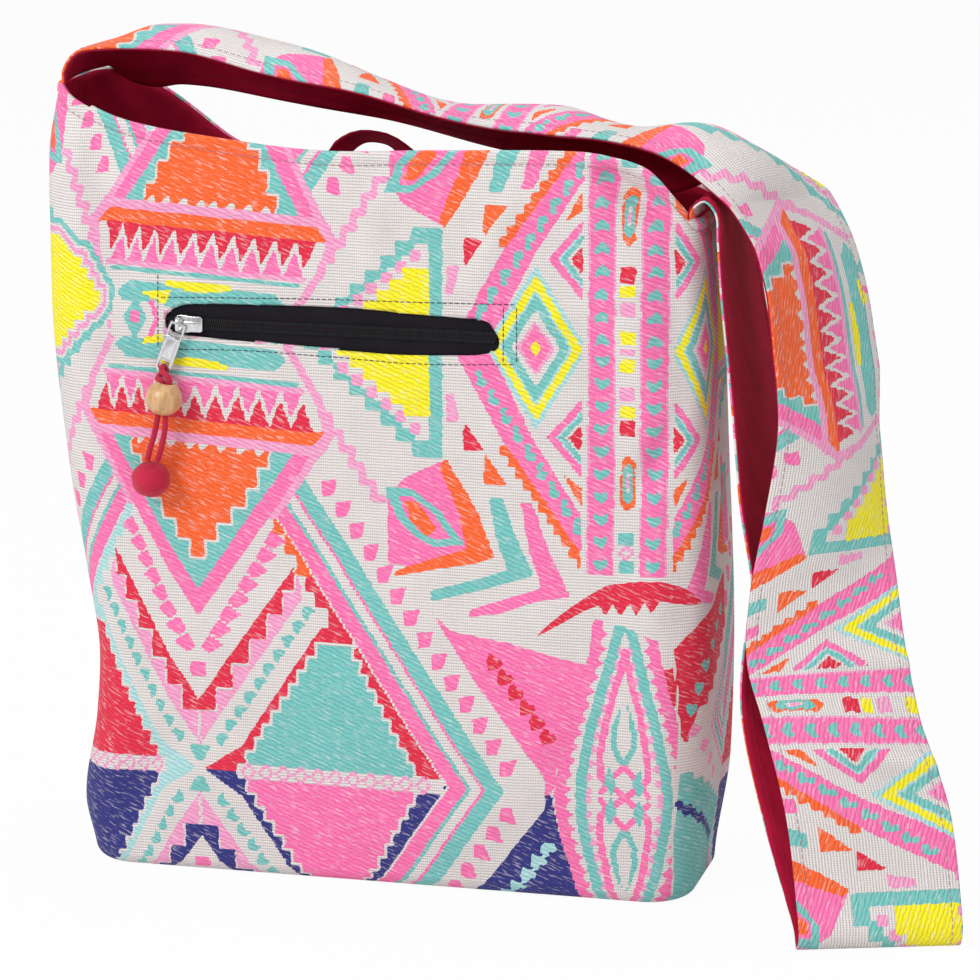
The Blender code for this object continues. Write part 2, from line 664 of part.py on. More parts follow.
# Offsets from the tab's eye: up through the bead, round behind the tab's end and down again.
CORD_ROUTE = [
    (-2.3, -CORD_PLANE, -46.6),
    (-1.4, -CORD_PLANE, -42.0),
    (0.2, -CORD_PLANE, -32.5),
    (1.5, -CORD_PLANE, -23.0),
    (3.0, -CORD_PLANE, -15.0),
    (4.2, -CORD_PLANE, -8.0),
    (4.2, -CORD_PLANE, -5.9),
    (3.2, -4.8, -4.3),
    (1.6, -3.7, -3.2),
    (0.0, -2.8, -2.2),
    (-0.2, -2.0, -1.0),
    (-0.2, -0.3, -0.4),
    (-0.2, 1.6, -1.0),
    (-0.6, 2.4, -2.6),
    (-1.6, 2.3, -4.2),
    (-2.4, 1.0, -5.4),
    (-2.3, -1.2, -5.7),
    (-1.2, -3.4, -5.7),
    (0.3, -4.9, -5.5),
    (1.4, -CORD_PLANE, -6.6),
    (1.6, -CORD_PLANE, -8.2),
    (0.4, -CORD_PLANE, -15.0),
    (-1.1, -CORD_PLANE, -23.0),
    (-2.9, -CORD_PLANE, -32.5),
    (-5.6, -CORD_PLANE, -41.5),
    (-7.2, -CORD_PLANE, -46.2),
]


def make_knot():
    """The knotted end of the cord: a ball of close turns, with a groove between them."""
    mesh = bpy.data.meshes.new("pull_knot")
    bm = bmesh.new()
    bmesh.ops.create_uvsphere(bm, u_segments=20, v_segments=14, radius=1)
    for v in bm.verts:
        around = math.atan2(v.co.y, v.co.x)
        slant = v.co.z * 2.4 + math.sin(around) * 0.9
        groove = 1 - 0.07 * abs(math.cos(slant * 2.2)) ** 6
        v.co = Vector((v.co[k] * KNOT_RADII[k] * groove for k in range(3))) * MM
    bm.to_mesh(mesh)
    bm.free()
    mesh.shade_smooth()
    knot = new_object("pull_knot", mesh, (0.5, 0.02, 0.05), 0.8)
    knot.location = KNOT_PLACE * MM


def make_hem_loop():
    """A small strip of lining cloth, sewn inside the back hem and standing up in an arch."""
    top = hermite(BACK_TOP, LOOP_X)
    depth = hermite(BACK_DEPTH, top) - 2 * HEM_FOLD - 2 * GAP - LOOP_THICK / 2
    half = LOOP_SPAN / 2
    # Each station is (across, turn of the strip towards the front in degrees, height).
    route = [
        (-half, 0, top - LOOP_SEWN),
        (-half, 0, top - LOOP_SEWN / 2),
        (-half, 0, top + 1),
        (-half * 0.8, 40, top + LOOP_RISE * 0.7),
        (-half * 0.25, LOOP_TURN, top + LOOP_RISE),
        (half * 0.35, LOOP_TURN, top + LOOP_RISE * 0.95),
        (half * 0.85, 40, top + LOOP_RISE * 0.6),
        (half, 0, top + 1),
        (half, 0, top - LOOP_SEWN / 2),
        (half, 0, top - LOOP_SEWN),
    ]
    line = through(route, [3] * (len(route) - 1))
    rows = []
    for k, p in enumerate(line):
        before, after = line[max(k - 1, 0)], line[min(k + 1, len(line) - 1)]
        along = Vector((after.x - before.x, 0, after.z - before.z)).normalized()
        flat = Vector((along.z, 0, -along.x))
        turn = math.radians(max(p.y, 0))
        across = flat * math.cos(turn) + Vector((0, 1, 0)) * math.sin(turn)
        centre = Vector((LOOP_X + p.x, depth - LOOP_LEAN * smooth_step(0, LOOP_TURN, p.y), p.z))
        rows.append([centre - across * LOOP_WIDTH / 2, centre, centre + across * LOOP_WIDTH / 2])
    loop = new_object("hem_loop", grid_mesh("hem_loop", rows), (0.26, 0.01, 0.03), 0.9)
    thicken(loop, LOOP_THICK, 0)


for old in list(bpy.data.objects):
    bpy.data.objects.remove(old, do_unlink=True)
parts = bpy.data.collections.new("shoulder_bag")
cutters = bpy.data.collections.new("cutters")
bpy.context.scene.collection.children.link(parts)
bpy.context.scene.collection.children.link(cutters)

front_panel = make_panel("front_panel", -1, (0.85, 0.32, 0.5))
cut(front_panel, slot_cutter())
make_panel("back_panel", 1, (0.8, 0.35, 0.5))
make_lining("front_lining", -1)
make_lining("back_lining", 1)
make_strap("strap_cloth", CLOTH, 1, (0.8, 0.4, 0.5))
make_strap("strap_lining", LINING, -1, (0.26, 0.01, 0.03))
make_zip()
make_slider()
make_tab()
make_cord()
make_bead()
make_knot()
make_hem_loop()
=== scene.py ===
# A soft shoulder bag of patterned cloth, with its strap, zip and pull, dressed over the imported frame.
# Sizes in the dictionaries are in millimetres, and become metres when a mesh is made.
import math

import bmesh
import bpy
import numpy as np
from mathutils import Matrix, Vector


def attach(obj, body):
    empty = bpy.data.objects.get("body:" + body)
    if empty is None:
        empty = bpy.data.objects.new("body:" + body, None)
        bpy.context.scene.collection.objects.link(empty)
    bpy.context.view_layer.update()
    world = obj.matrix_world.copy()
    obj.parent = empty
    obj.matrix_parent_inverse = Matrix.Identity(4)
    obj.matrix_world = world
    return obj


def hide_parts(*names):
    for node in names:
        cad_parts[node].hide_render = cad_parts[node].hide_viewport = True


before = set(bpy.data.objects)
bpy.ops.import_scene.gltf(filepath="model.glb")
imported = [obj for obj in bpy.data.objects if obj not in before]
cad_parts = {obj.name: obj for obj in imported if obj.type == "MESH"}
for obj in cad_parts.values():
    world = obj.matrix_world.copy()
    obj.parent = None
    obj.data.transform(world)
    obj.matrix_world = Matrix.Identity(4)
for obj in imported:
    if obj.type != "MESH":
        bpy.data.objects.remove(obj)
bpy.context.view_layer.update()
mm = 0.001
print("frame loaded")


# Camera at the photo's angle; it comes first because cords are judged by what it sees.
view = {"azimuth": 14, "elevation": 13, "distance": 2200, "right": 38.1, "up": 185.3, "lens": 160.4}


def placeCamera():
    a, e = math.radians(view["azimuth"]), math.radians(view["elevation"])
    right = Vector((math.cos(a), math.sin(a), 0))
    up = Vector((-math.sin(a) * math.sin(e), math.cos(a) * math.sin(e), math.cos(e)))
    back = Vector((math.sin(a) * math.cos(e), -math.cos(a) * math.cos(e), math.sin(e)))
    data = bpy.data.cameras.new("camera")
    data.lens = view["lens"]
    data.sensor_width = 36
    camera = bpy.data.objects.new("camera", data)
    bpy.context.scene.collection.objects.link(camera)
    place = (back * view["distance"] + right * view["right"] + up * view["up"]) * mm
    turn = Matrix((right, up, back)).transposed().to_4x4()
    camera.matrix_world = Matrix.Translation(place) @ turn
    bpy.context.scene.camera = camera


placeCamera()


# Small tools shared by the pieces.
def lineThrough(points):
    # A smooth rising or falling line through (place, value) points, read at an array of places.
    xs = np.array([p[0] for p in points], float)
    ys = np.array([p[1] for p in points], float)
    slopes = np.diff(ys) / np.diff(xs)
    bends = np.zeros(len(xs))
    for k in range(1, len(xs) - 1):
        if slopes[k - 1] * slopes[k] > 0:
            bends[k] = 2 * slopes[k - 1] * slopes[k] / (slopes[k - 1] + slopes[k])

    def at(x):
        x = np.clip(x, xs[0], xs[-1])
        i = np.clip(np.searchsorted(xs, x, side="right") - 1, 0, len(xs) - 2)
        h = xs[i + 1] - xs[i]
        t = (x - xs[i]) / h
        return ((2 * t**3 - 3 * t**2 + 1) * ys[i] + (t**3 - 2 * t**2 + t) * h * bends[i]
                + (3 * t**2 - 2 * t**3) * ys[i + 1] + (t**3 - t**2) * h * bends[i + 1])

    return at


def ease(a, b, x):
    t = np.clip((x - a) / (b - a), 0, 1)
    return t * t * (3 - 2 * t)


def bump(x, z, cx, cz, wx, wz):
    return np.exp(-(((x - cx) / wx) ** 2) - ((z - cz) / wz) ** 2)


def gridNormals(grid):
    across = np.gradient(grid, axis=1)
    along = np.gradient(grid, axis=0)
    normal = np.cross(across, along)
    return normal / np.maximum(np.linalg.norm(normal, axis=2, keepdims=True), 1e-9)


def addPiece(name, mesh, material, body="bag"):
    piece = bpy.data.objects.new(name, mesh)
    bpy.context.scene.collection.objects.link(piece)
    mesh.materials.clear()
    mesh.materials.append(material)
    mesh.shade_smooth()
    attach(piece, body)
    return piece


def quads(rows, cols, start=0):
    index = start + np.arange(rows * cols).reshape(rows, cols)
    return np.stack([index[:-1, :-1], index[:-1, 1:], index[1:, 1:], index[1:, :-1]], -1)


def edgeLoop(rows, cols):
    # Grid places round the border, going once about it.
    ring = [(0, c) for c in range(cols - 1)] + [(r, cols - 1) for r in range(rows - 1)]
    ring += [(rows - 1, c) for c in range(cols - 1, 0, -1)] + [(r, 0) for r in range(rows - 1, 0, -1)]
    return ring


def sheetMesh(name, grid, thick, coarse, hole=None):
    # A closed cloth: a fine outer face, a coarser inner face and a rim that joins them.
    # hole gives the distance of points from an opening's edge, below 0 inside it. The faces there are left out,
    # with the inner ones under them.
    rows, cols = grid.shape[:2]
    inner = (grid - gridNormals(grid) * thick)[::coarse, ::coarse]
    innerRows, innerCols = inner.shape[:2]
    points = np.concatenate([grid.reshape(-1, 3), inner.reshape(-1, 3)])
    outerFaces = quads(rows, cols)
    innerFaces = quads(innerRows, innerCols, rows * cols)[..., ::-1]
    keepOuter = np.ones(outerFaces.shape[:2], bool)
    keepInner = np.ones(innerFaces.shape[:2], bool)
    if hole is not None:
        centres = (grid[:-1, :-1] + grid[1:, 1:]) / 2
        keepOuter = hole(centres) > 0
        blocks = keepOuter.reshape(innerRows - 1, coarse, innerCols - 1, coarse)
        keepInner = blocks.all(axis=(1, 3))
    faces = [tuple(f) for f in outerFaces[keepOuter].tolist()]
    faces += [tuple(f) for f in innerFaces[keepInner].tolist()]
    start = rows * cols
    ring = edgeLoop(rows, cols)
    count = len(ring)
    for k in range(0, count, coarse):
        outer = [ring[(k + j) % count] for j in range(coarse + 1)]
        outer = [r * cols + c for r, c in outer]
        a, b = ring[k], ring[(k + coarse) % count]
        a = start + a[0] // coarse * innerCols + a[1] // coarse
        b = start + b[0] // coarse * innerCols + b[1] // coarse
        half = coarse // 2
        for j in range(coarse):
            faces.append((outer[j + 1], outer[j], a if j < half else b))
        faces.append((outer[half], a, b))
    mesh = bpy.data.meshes.new(name)
    mesh.from_pydata((points * mm).tolist(), [], faces)
    return mesh


def keepVectors(mesh, name, values):
    values = np.asarray(values, np.float32)
    layer = mesh.attributes.new(name, "FLOAT_VECTOR", "POINT")
    layer.data.foreach_set("vector", values.reshape(-1))


def bothFaces(values, coarse):
    # Values at a grid's points, for the outer face of a sheet and then for its coarser inner face.
    return np.concatenate([values.reshape(-1, 3), values[::coarse, ::coarse].reshape(-1, 3)])


def keepGrid(mesh, values, coarse):
    keepVectors(mesh, "cloth", bothFaces(values, coarse))


def ringFaces(rings, count, closed=False):
    # Faces between rings of points, from each ring to the next, and to the first again where closed.
    faces = []
    for r in range(rings if closed else rings - 1):
        a, b = r * count, (r + 1) % rings * count
        faces += [(a + j, a + (j + 1) % count, b + (j + 1) % count, b + j) for j in range(count)]
    return faces


def tube(shape, path, width, high=None, up=None, sides=12, closed=False, square=1.0, swell=None):
    # A bar along a path: round, or nearly square where square is small; up fixes which way its height points.
    path = np.asarray(path, float)
    forward = np.roll(path, -1, 0) - np.roll(path, 1, 0) if closed else np.gradient(path, axis=0)
    forward /= np.maximum(np.linalg.norm(forward, axis=1, keepdims=True), 1e-9)
    if up is None:
        guess = np.array([0.0, 0, 1]) if abs(forward[0][2]) < 0.9 else np.array([1.0, 0, 0])
        side = [np.cross(forward[0], guess)]
        for f in forward[1:]:
            side.append(side[-1] - f * np.dot(side[-1], f))
            side[-1] = side[-1] / np.linalg.norm(side[-1])
        side = np.array(side)
        side[0] /= np.linalg.norm(side[0])
        lift = np.cross(side, forward)
    else:
        lift = np.broadcast_to(np.asarray(up, float), forward.shape)
        side = np.cross(forward, lift)
        side = side / np.linalg.norm(side, axis=1, keepdims=True)
    angles = np.arange(sides) / sides * 2 * math.pi
    c, d = np.cos(angles), np.sin(angles)
    wide = np.sign(c) * np.abs(c) ** square * width / 2
    tall = np.sign(d) * np.abs(d) ** square * (high or width) / 2
    lengths = np.concatenate([[0], np.cumsum(np.linalg.norm(np.diff(path, axis=0), axis=1))])
    grow = 1 if swell is None else swell(lengths[:, None], angles[None])[..., None]
    ring = side[:, None] * wide[None, :, None] + lift[:, None] * tall[None, :, None]
    points = (path[:, None] + ring * grow).reshape(-1, 3)
    count = len(path)
    faces = ringFaces(count, sides, closed)
    if not closed:
        faces += [tuple(range(sides)), tuple((count - 1) * sides + j for j in range(sides))]
    around = np.stack(np.broadcast_arrays(angles[None] * width / 2, lengths[:, None], 0.0), -1)
    addShape(shape, points, faces, around.reshape(-1, 3))


def newShape():
    return {"points": [], "faces": [], "cloth": []}


def addShape(shape, points, faces, around=None):
    start = sum(len(group) for group in shape["points"])
    shape["points"].append(np.asarray(points, float))
    shape["cloth"].append(np.asarray(points if around is None else around, float))
    shape["faces"] += [tuple(start + k for k in face) for face in faces]


def plate(shape, outline, low, high, bevel):
    # A flat plate whose outline lies in the upright plane, between two depths, with rounded edges.
    outline = np.array(outline, float)
    centre = outline.mean(0)
    reach = np.linalg.norm(outline - centre, axis=1, keepdims=True)
    rings = []
    for inset, y in ((1.0, low), (0.3, low + 0.3 * bevel), (0, low + bevel), (0, high - bevel),
                     (0.3, high - 0.3 * bevel), (1.0, high)):
        ring = centre + (outline - centre) * (1 - inset * bevel / reach)
        rings.append(np.stack([ring[:, 0], np.full(len(ring), y), ring[:, 1]], -1))
    count = len(outline)
    last = (len(rings) - 1) * count
    faces = [tuple(range(count)), tuple(last + k for k in range(count))] + ringFaces(len(rings), count)
    addShape(shape, np.concatenate(rings), faces)


def makeMesh(name, shape):
    mesh = bpy.data.meshes.new(name)
    mesh.from_pydata((np.concatenate(shape["points"]) * mm).tolist(), [], shape["faces"])
    bm = bmesh.new()
    bm.from_mesh(mesh)
    bmesh.ops.recalc_face_normals(bm, faces=bm.faces)
    bm.to_mesh(mesh)
    bm.free()
    keepVectors(mesh, "cloth", np.concatenate(shape["cloth"]))
    return mesh


def gridLengths(grid):
    # Lengths along the cloth of every point of a grid, across and up, with the depth left at 0.
    across = np.cumsum(np.linalg.norm(np.diff(grid, axis=1, prepend=grid[:, :1]), axis=2), axis=1)
    along = np.cumsum(np.linalg.norm(np.diff(grid, axis=0, prepend=grid[:1]), axis=2), axis=0)
    return np.stack([across, along, np.zeros_like(along)], -1)


def stitches(shape, line, outward, pitch, length, thick):
    # Short threads laid along a line, each dipping into the cloth at its ends.
    line, outward = np.asarray(line, float), np.asarray(outward, float)
    lengths = np.concatenate([[0], np.cumsum(np.linalg.norm(np.diff(line, axis=0), axis=1))])
    for start in np.arange(pitch / 2, lengths[-1] - length, pitch):
        at = start + np.array([0, 0.15, 0.5, 0.85, 1]) * length
        place = np.stack([np.interp(at, lengths, line[:, k]) for k in range(3)], -1)
        away = np.stack([np.interp(at, lengths, outward[:, k]) for k in range(3)], -1)
        place += away * (np.array([-0.9, 0.15, 0.35, 0.15, -0.9]) * thick)[:, None]
        tube(shape, place, thick, sides=5)


# The cloth's pattern: one cell of woven figures, mirrored sideways and upwards as it repeats.
# Places are millimetres on the flat cloth, with 0 at the middle of the front and at its base.
pattern = {
    "left": -97.0, "right": 118.0, "low": 50.0, "high": 270.0, "soft": 1.2, "ragged": 0.42, "row": 1.9,
    # How the cloth was cut and pulled: height of the base, rise to the left, narrowing and lean by the left seam.
    "base": 4.0, "rise": 0.055, "narrow": 0.28, "lean": 14.0,
}
yarns = {
    "white": (0.90, 0.84, 0.82), "pink": (1.0, 0.19, 0.46), "rose": (0.93, 0.36, 0.60),
    "teal": (0.19, 0.57, 0.54), "ice": (0.42, 0.73, 0.74), "orange": (1.0, 0.145, 0.035),
    "red": (0.80, 0.028, 0.07), "yellow": (0.97, 0.86, 0.02), "navy": (0.034, 0.036, 0.22),
}
yarnIndex = {name: k for k, name in enumerate(yarns)}


def foldBack(at, low, high):
    turn = np.mod(at - low, 2 * (high - low))
    return low + np.where(turn > high - low, 2 * (high - low) - turn, turn)


def newCloth(across, along):
    # Points of the cloth, folded into the one cell, with the zone that each lies in.
    # Each row of the weave is shifted a little, by an amount of its own, so that edges look ragged.
    row = np.floor(along / pattern["row"])
    shift = np.mod(np.sin(row * 12.9898) * 43758.5453, 1.0) - 0.5
    x = foldBack(across + pattern["ragged"] * 2 * shift, pattern["left"], pattern["right"])
    z = foldBack(along, pattern["low"], pattern["high"])
    left, right, low = across < pattern["left"], across > pattern["right"], along < pattern["low"]
    zones = {"low": low & ~left & ~right, "left": left & ~low, "right": right & ~low,
             "leftLow": left & low, "rightLow": right & low}
    cover = np.zeros((across.size, len(yarns)), np.float32)
    cover[:, 0] = 1
    return {"x": x, "z": z, "trueX": across, "trueZ": along, "zones": zones, "cover": cover}


def distanceTo(x, z, points, closed=True):
    # How far places are from a line of points, and which of them it encloses.
    near = np.full(x.shape, 1e9)
    inside = np.zeros(x.shape, bool)
    for (ax, az), (bx, bz) in zip(points, np.roll(points, -1, axis=0) if closed else points[1:]):
        dx, dz = bx - ax, bz - az
        t = np.clip(((x - ax) * dx + (z - az) * dz) / max(dx * dx + dz * dz, 1e-9), 0, 1)
        near = np.minimum(near, np.hypot(x - ax - dx * t, z - az - dz * t))
        if closed and az != bz:
            inside ^= ((az > z) != (bz > z)) & (x < ax + (z - az) * dx / dz)
    return near, inside


def nearCloth(cloth, points, reach, flat):
    # The points of the cloth near a figure; flat takes the whole cloth and not its mirrored cells.
    x, z = (cloth["trueX"], cloth["trueZ"]) if flat else (cloth["x"], cloth["z"])
    reach += pattern["soft"] / 2
    (lowX, lowZ), (highX, highZ) = points.min(0) - reach, points.max(0) + reach
    where = np.nonzero((x > lowX) & (x < highX) & (z > lowZ) & (z < highZ))[0]
    return where, x[where], z[where]


def lay(cloth, where, distance, yarn, zones):
    # Covers the cloth with a yarn, or with another yarn in the zones that name one.
    amount = np.clip(0.5 - distance / pattern["soft"], 0, 1).astype(np.float32)
    cover = cloth["cover"]
    index = np.full(where.size, yarnIndex[yarn])
    for zone, other in zones.items():
        index[cloth["zones"][zone][where]] = yarnIndex[other]
    cover[where] *= (1 - amount)[:, None]
    cover[where, index] += amount


def fill(cloth, yarn, points, flat=False, grow=0.0, **zones):
    # Fills a figure; flat draws it once on the whole cloth and not in every mirrored cell.
    points = np.array(points, float)
    where, x, z = nearCloth(cloth, points, abs(grow), flat)
    near, inside = distanceTo(x, z, points)
    lay(cloth, where, np.where(inside, -near, near) - grow, yarn, zones)


def band(cloth, yarn, points, width, flat=False, **zones):
    # Lays an even band along a line of points.
    points = np.array(points, float)
    where, x, z = nearCloth(cloth, points, width / 2, flat)
    near = distanceTo(x, z, points, False)[0]
    lay(cloth, where, near - width / 2, yarn, zones)


def stairs(start, end, count, upFirst=True):
    # Corner points of a stair from one point to another.
    (ax, az), (bx, bz) = start, end
    points = [start]
    for k in range(count):
        x0, z0 = ax + (bx - ax) * k / count, az + (bz - az) * k / count
        x1, z1 = ax + (bx - ax) * (k + 1) / count, az + (bz - az) * (k + 1) / count
        points += [(x0, z1), (x1, z1)] if upFirst else [(x1, z0), (x1, z1)]
    return points


figures = {
    "wedge": [(-3.8, 3.2), (3.8, 3.6), (0.8, -3.4), (-3.8, -3.4)],
    "arrow": [(-3.6, 3.4), (0.0, 1.4), (3.6, 3.4), (3.6, -0.6), (0.0, -3.8), (-3.6, -0.6)],
    "hook": [(-2.6, 4.2), (0.6, 4.2), (0.6, 0.2), (3.8, 0.2), (3.8, -4.0), (-1.4, -4.0), (-1.4, 0.4), (-2.6, 0.4)],
    "heart": [(-3.6, 2.8), (-1.4, 3.6), (0, 1.8), (1.4, 3.6), (3.6, 2.8), (3.4, 0.0), (0, -3.8), (-3.4, 0.0)],
    "block": [(-3.4, 3.4), (3.4, 3.4), (3.4, -3.4), (-3.4, -3.4)],
}


def figureAt(figure, x, z, size=1.0, turn=0.0):
    a = math.radians(turn)
    return [(x + size * (px * math.cos(a) - pz * math.sin(a)), z + size * (px * math.sin(a) + pz * math.cos(a)))
            for px, pz in figures[figure]]


def march(cloth, yarn, figure, start, end, count, size=1.0, turn=0.0, flat=False, **zones):
    # Repeats a small figure along a line.
    for k in range(count):
        t = k / (count - 1)
        x, z = start[0] + (end[0] - start[0]) * t, start[1] + (end[1] - start[1]) * t
        fill(cloth, yarn, figureAt(figure, x, z, size, turn), flat, **zones)


def teeth(cloth, yarn, startX, endX, base, tip, count, **zones):
    # A row of triangles on a level line.
    step = (endX - startX) / count
    for k in range(count):
        x = startX + step * k
        fill(cloth, yarn, [(x, base), (x + step / 2, tip), (x + step, base)], **zones)


def slopeX(at, z):
    # Across-place of one of the long slanting stripes, named by its place at height 100.
    return at - 0.675 * (z - 100)


def weaveColumns(cloth):
    # Two upright pink bands with small arrows, and a column of boxes and ovals between them.
    fill(cloth, "white", [(96, 160), (140, 160), (140, 400), (96, 400)])
    fill(cloth, "rose", [(98.5, 161), (112, 161), (112, 300), (98.5, 300)])
    fill(cloth, "pink", [(99.5, 161), (111, 161), (111, 300), (99.5, 300)])
    march(cloth, "teal", "arrow", (105.3, 166), (105.3, 265), 10, 0.95)
    for low, high, yarn in ((260, 266.5, "yellow"), (268.5, 271.5, "rose"), (246, 253, "rose"),
                            (238, 243.5, "yellow"), (229, 237, "red"), (176, 182, "teal"), (162, 168, "teal")):
        fill(cloth, yarn, [(114.2, low), (122, low), (122, high), (114.2, high)])
    oval = [(114.5, 195), (118, 192), (130, 192), (130, 220), (118, 220), (114.5, 216)]
    fill(cloth, "orange", oval)
    fill(cloth, "teal", [(115.6, 198), (118, 195.5), (130, 195.5), (130, 216), (118, 216), (115.6, 213)])
    fill(cloth, "white", [(117, 201), (130, 199.5), (130, 212), (117, 210)])
    fill(cloth, "rose", [(117.2, 203.5), (130, 203.5), (130, 208.5), (117.2, 208.5)])
    band(cloth, "rose", [(114.5, 172), (118, 175), (121.5, 172), (118, 169), (114.5, 172)], 1.6)


def weaveLens(cloth):
    # The tall leaf figure under the columns, with zigzag edges.
    outer = [(104, 140), (101, 122), (93, 95), (86, 70), (82, 50)]
    fill(cloth, "white", outer + [(118, 50), (118, 141)])
    band(cloth, "pink", [(105, 140), (103, 122), (96, 95), (89, 70), (85.5, 48)], 5.0)
    for k in range(12):
        z = 132 - k * 7.2
        x = np.interp(z, [48, 70, 95, 122, 140], [88.5, 92, 99, 106, 108])
        fill(cloth, "pink", [(x - 1.5, z + 3), (x + 2.6, z), (x - 1.5, z - 3)])
    band(cloth, "teal", [(118, 136), (115, 135), (110, 115), (102, 86), (97, 62), (96, 48)], 5.2)
    for k in range(11):
        z = 124 - k * 7.2
        x = np.interp(z, [48, 62, 86, 115, 135], [99, 100, 105, 113, 118])
        fill(cloth, "rose", [(x - 0.5, z + 2.8), (x + 3.2, z), (x - 0.5, z - 2.8)])
    band(cloth, "pink", [(118, 124), (115.5, 112), (110, 92), (106, 70), (106, 60), (118, 50)], 3.4)
    band(cloth, "teal", [(118, 98), (113, 84), (113, 76), (118, 66)], 3.0)
    fill(cloth, "white", [(118, 104), (115.4, 88), (116, 80), (118, 74)])
    band(cloth, "pink", [(106, 52), (112, 60), (118, 66)], 3.0)
    fill(cloth, "teal", [(110, 66), (114, 58), (111, 50), (108, 56)])


def weaveGem(cloth):
    # Rings of a diamond beside the zip.
    centre = np.array([73.5, 270.0])

    def ring(reachX, reachZ):
        return [(centre[0], centre[1] + reachZ), (centre[0] + reachX, centre[1]),
                (centre[0], centre[1] - reachZ), (centre[0] - reachX, centre[1])]

    for yarn, reachX, reachZ in (("ice", 25, 40), ("yellow", 22.5, 35.5), ("ice", 18, 28.5), ("teal", 16.5, 26.5),
                                 ("white", 12, 19), ("rose", 9.5, 13.5), ("pink", 7.5, 11), ("yellow", 3, 4)):
        fill(cloth, yarn, ring(reachX, reachZ))
    for yarn, reach in (("pink", 18), ("ice", 13.5), ("teal", 12.0), ("white", 9.0), ("red", 7.2)):
        fill(cloth, yarn, [(97, 227 + reach * 1.15), (97 - reach, 227), (97, 227 - reach * 1.15)])


def weaveVees(cloth):
    # Nested points under the strip: stepped orange, teal, pink, then a white band and a stepped red one.
    half = [(37, 212), (37, 203), (31, 203), (31, 192), (25, 192), (25, 182), (17.5, 182), (17.5, 173),
            (10, 173), (10, 164), (3.4, 164), (3.4, 155), (0, 155)]
    fill(cloth, "pink", [(-110, 214), (-37, 214), (-58, 181), (-97, 126), (-110, 145)], left="pink")
    fill(cloth, "teal", [(-110, 213), (-46, 213), (-97, 139), (-110, 158)])
    figure = [(-97 + dx, z) for dx, z in half] + [(-110, 155), (-110, 212)]
    fill(cloth, "white", figure, grow=1.4)
    fill(cloth, "orange", figure)
    teeth(cloth, "white", -108, -60, 213.5, 207.5, 5)
    fill(cloth, "rose", [(-110, 211.5), (-34, 211.5), (-30, 216), (-110, 216)])
    march(cloth, "pink", "wedge", (-57.5, 166), (-90, 112), 8, 1.15, -34)
    fill(cloth, "pink", [(-110, 104), (-93, 104), (-93, 96.5), (-110, 96.5)])
    stair = [(-48, 153), (-48, 143), (-54, 143), (-54, 131), (-62, 131), (-62, 118), (-71, 118), (-71, 104.5),
             (-80, 104.5), (-80, 92), (-88.5, 92), (-88.5, 80), (-105, 80), (-105, 90)]
    under = [(-97, 62), (-44, 139), (-44, 146), (-48, 153)] + stair[1:]
    fill(cloth, "rose", under, low="rose", left="rose")
    fill(cloth, "white", [(-97, 85), (-47, 156)] + stair, grow=1.0)
    fill(cloth, "red", [(-97, 85), (-47, 156)] + stair, low="navy", leftLow="navy")
    band(cloth, "white", [(-97, 65), (-97, 78)], 1.6)
    march(cloth, "teal", "arrow", (-85.5, 66), (-41, 133), 10, 0.95, -125)
    fill(cloth, "teal", [(-101, 62), (-91, 62), (-95, 54), (-101, 54)])


def weaveDiamond(cloth):
    # The large stepped diamond, half of it below the fold of the pattern.
    for yarn, inner, outer in (("pink", -4, 6.5), ("teal", 6.5, 9.0), ("white", 9.0, 14.0), ("pink", 14.0, 16.0),
                               ("teal", 16.0, 25.5), ("white", 25.5, 46.0)):
        top = 214
        fill(cloth, yarn, [(slopeX(inner, top), top), (slopeX(outer, top), top),
                           (slopeX(outer, 44), 44), (slopeX(inner, 44), 44)])
    march(cloth, "pink", "wedge", (slopeX(35.8, 196), 196), (slopeX(35.8, 62), 62), 14, 1.15, 8)
    left = stairs((-72, 53), (-31.5, 117.5), 9)
    body = left + [(-24, 117.5)] + stairs((-18.5, 117.5), (17.2, 53), 9)
    border = [(-95, 50), (-75, 63), (-34, 126), (-30, 126), (-30, 136), (-37, 136), (-37, 143.5), (-42, 143.5),
              (-42, 152), (-47, 152), (-47, 161), (-52.5, 161), (-52.5, 170), (-58, 170), (-58, 181),
              (slopeX(-4, 181), 181), (slopeX(-4, 44), 44), (-95, 44)]
    fill(cloth, "white", border, grow=1.2)
    fill(cloth, "red", border, low="navy", left="ice", leftLow="ice")
    fill(cloth, "orange", [(-47, 151), (-42, 151), (slopeX(-4, 151), 151), (slopeX(-4, 183), 183), (-58, 183),
                           (-58, 170), (-52.5, 170), (-52.5, 161), (-47, 161)], left="ice", leftLow="ice")
    fill(cloth, "white", body, grow=1.5)
    fill(cloth, "teal", body, low="pink", left="red", leftLow="navy")
    fill(cloth, "white", [(-78, 40), (28, 40), (28, 54), (-78, 54)])
    for k in range(11):
        x = -72 + k * 9.0
        band(cloth, "rose", [(x - 3.4, 50), (x, 54), (x + 3.4, 50), (x, 46), (x - 3.4, 50)], 1.5)
    band(cloth, "red", [(-102, 66), (-118, 66)], 1.0)


def weaveField(cloth):
    # The three-cornered field right of the slanting stripes, with a row of small hooks.
    field = [(22, 138), (32, 129), (60, 125), (80, 120), (104, 115), (96, 92), (86, 66), (82, 50), (84, 44),
             (79, 44), (79, 58), (46, 102)]
    fill(cloth, "pink", field, low="navy", right="red", rightLow="teal")
    march(cloth, "red", "heart", (53, 114), (80, 78), 6, 1.15, -35, low="ice", right="teal", rightLow="navy")


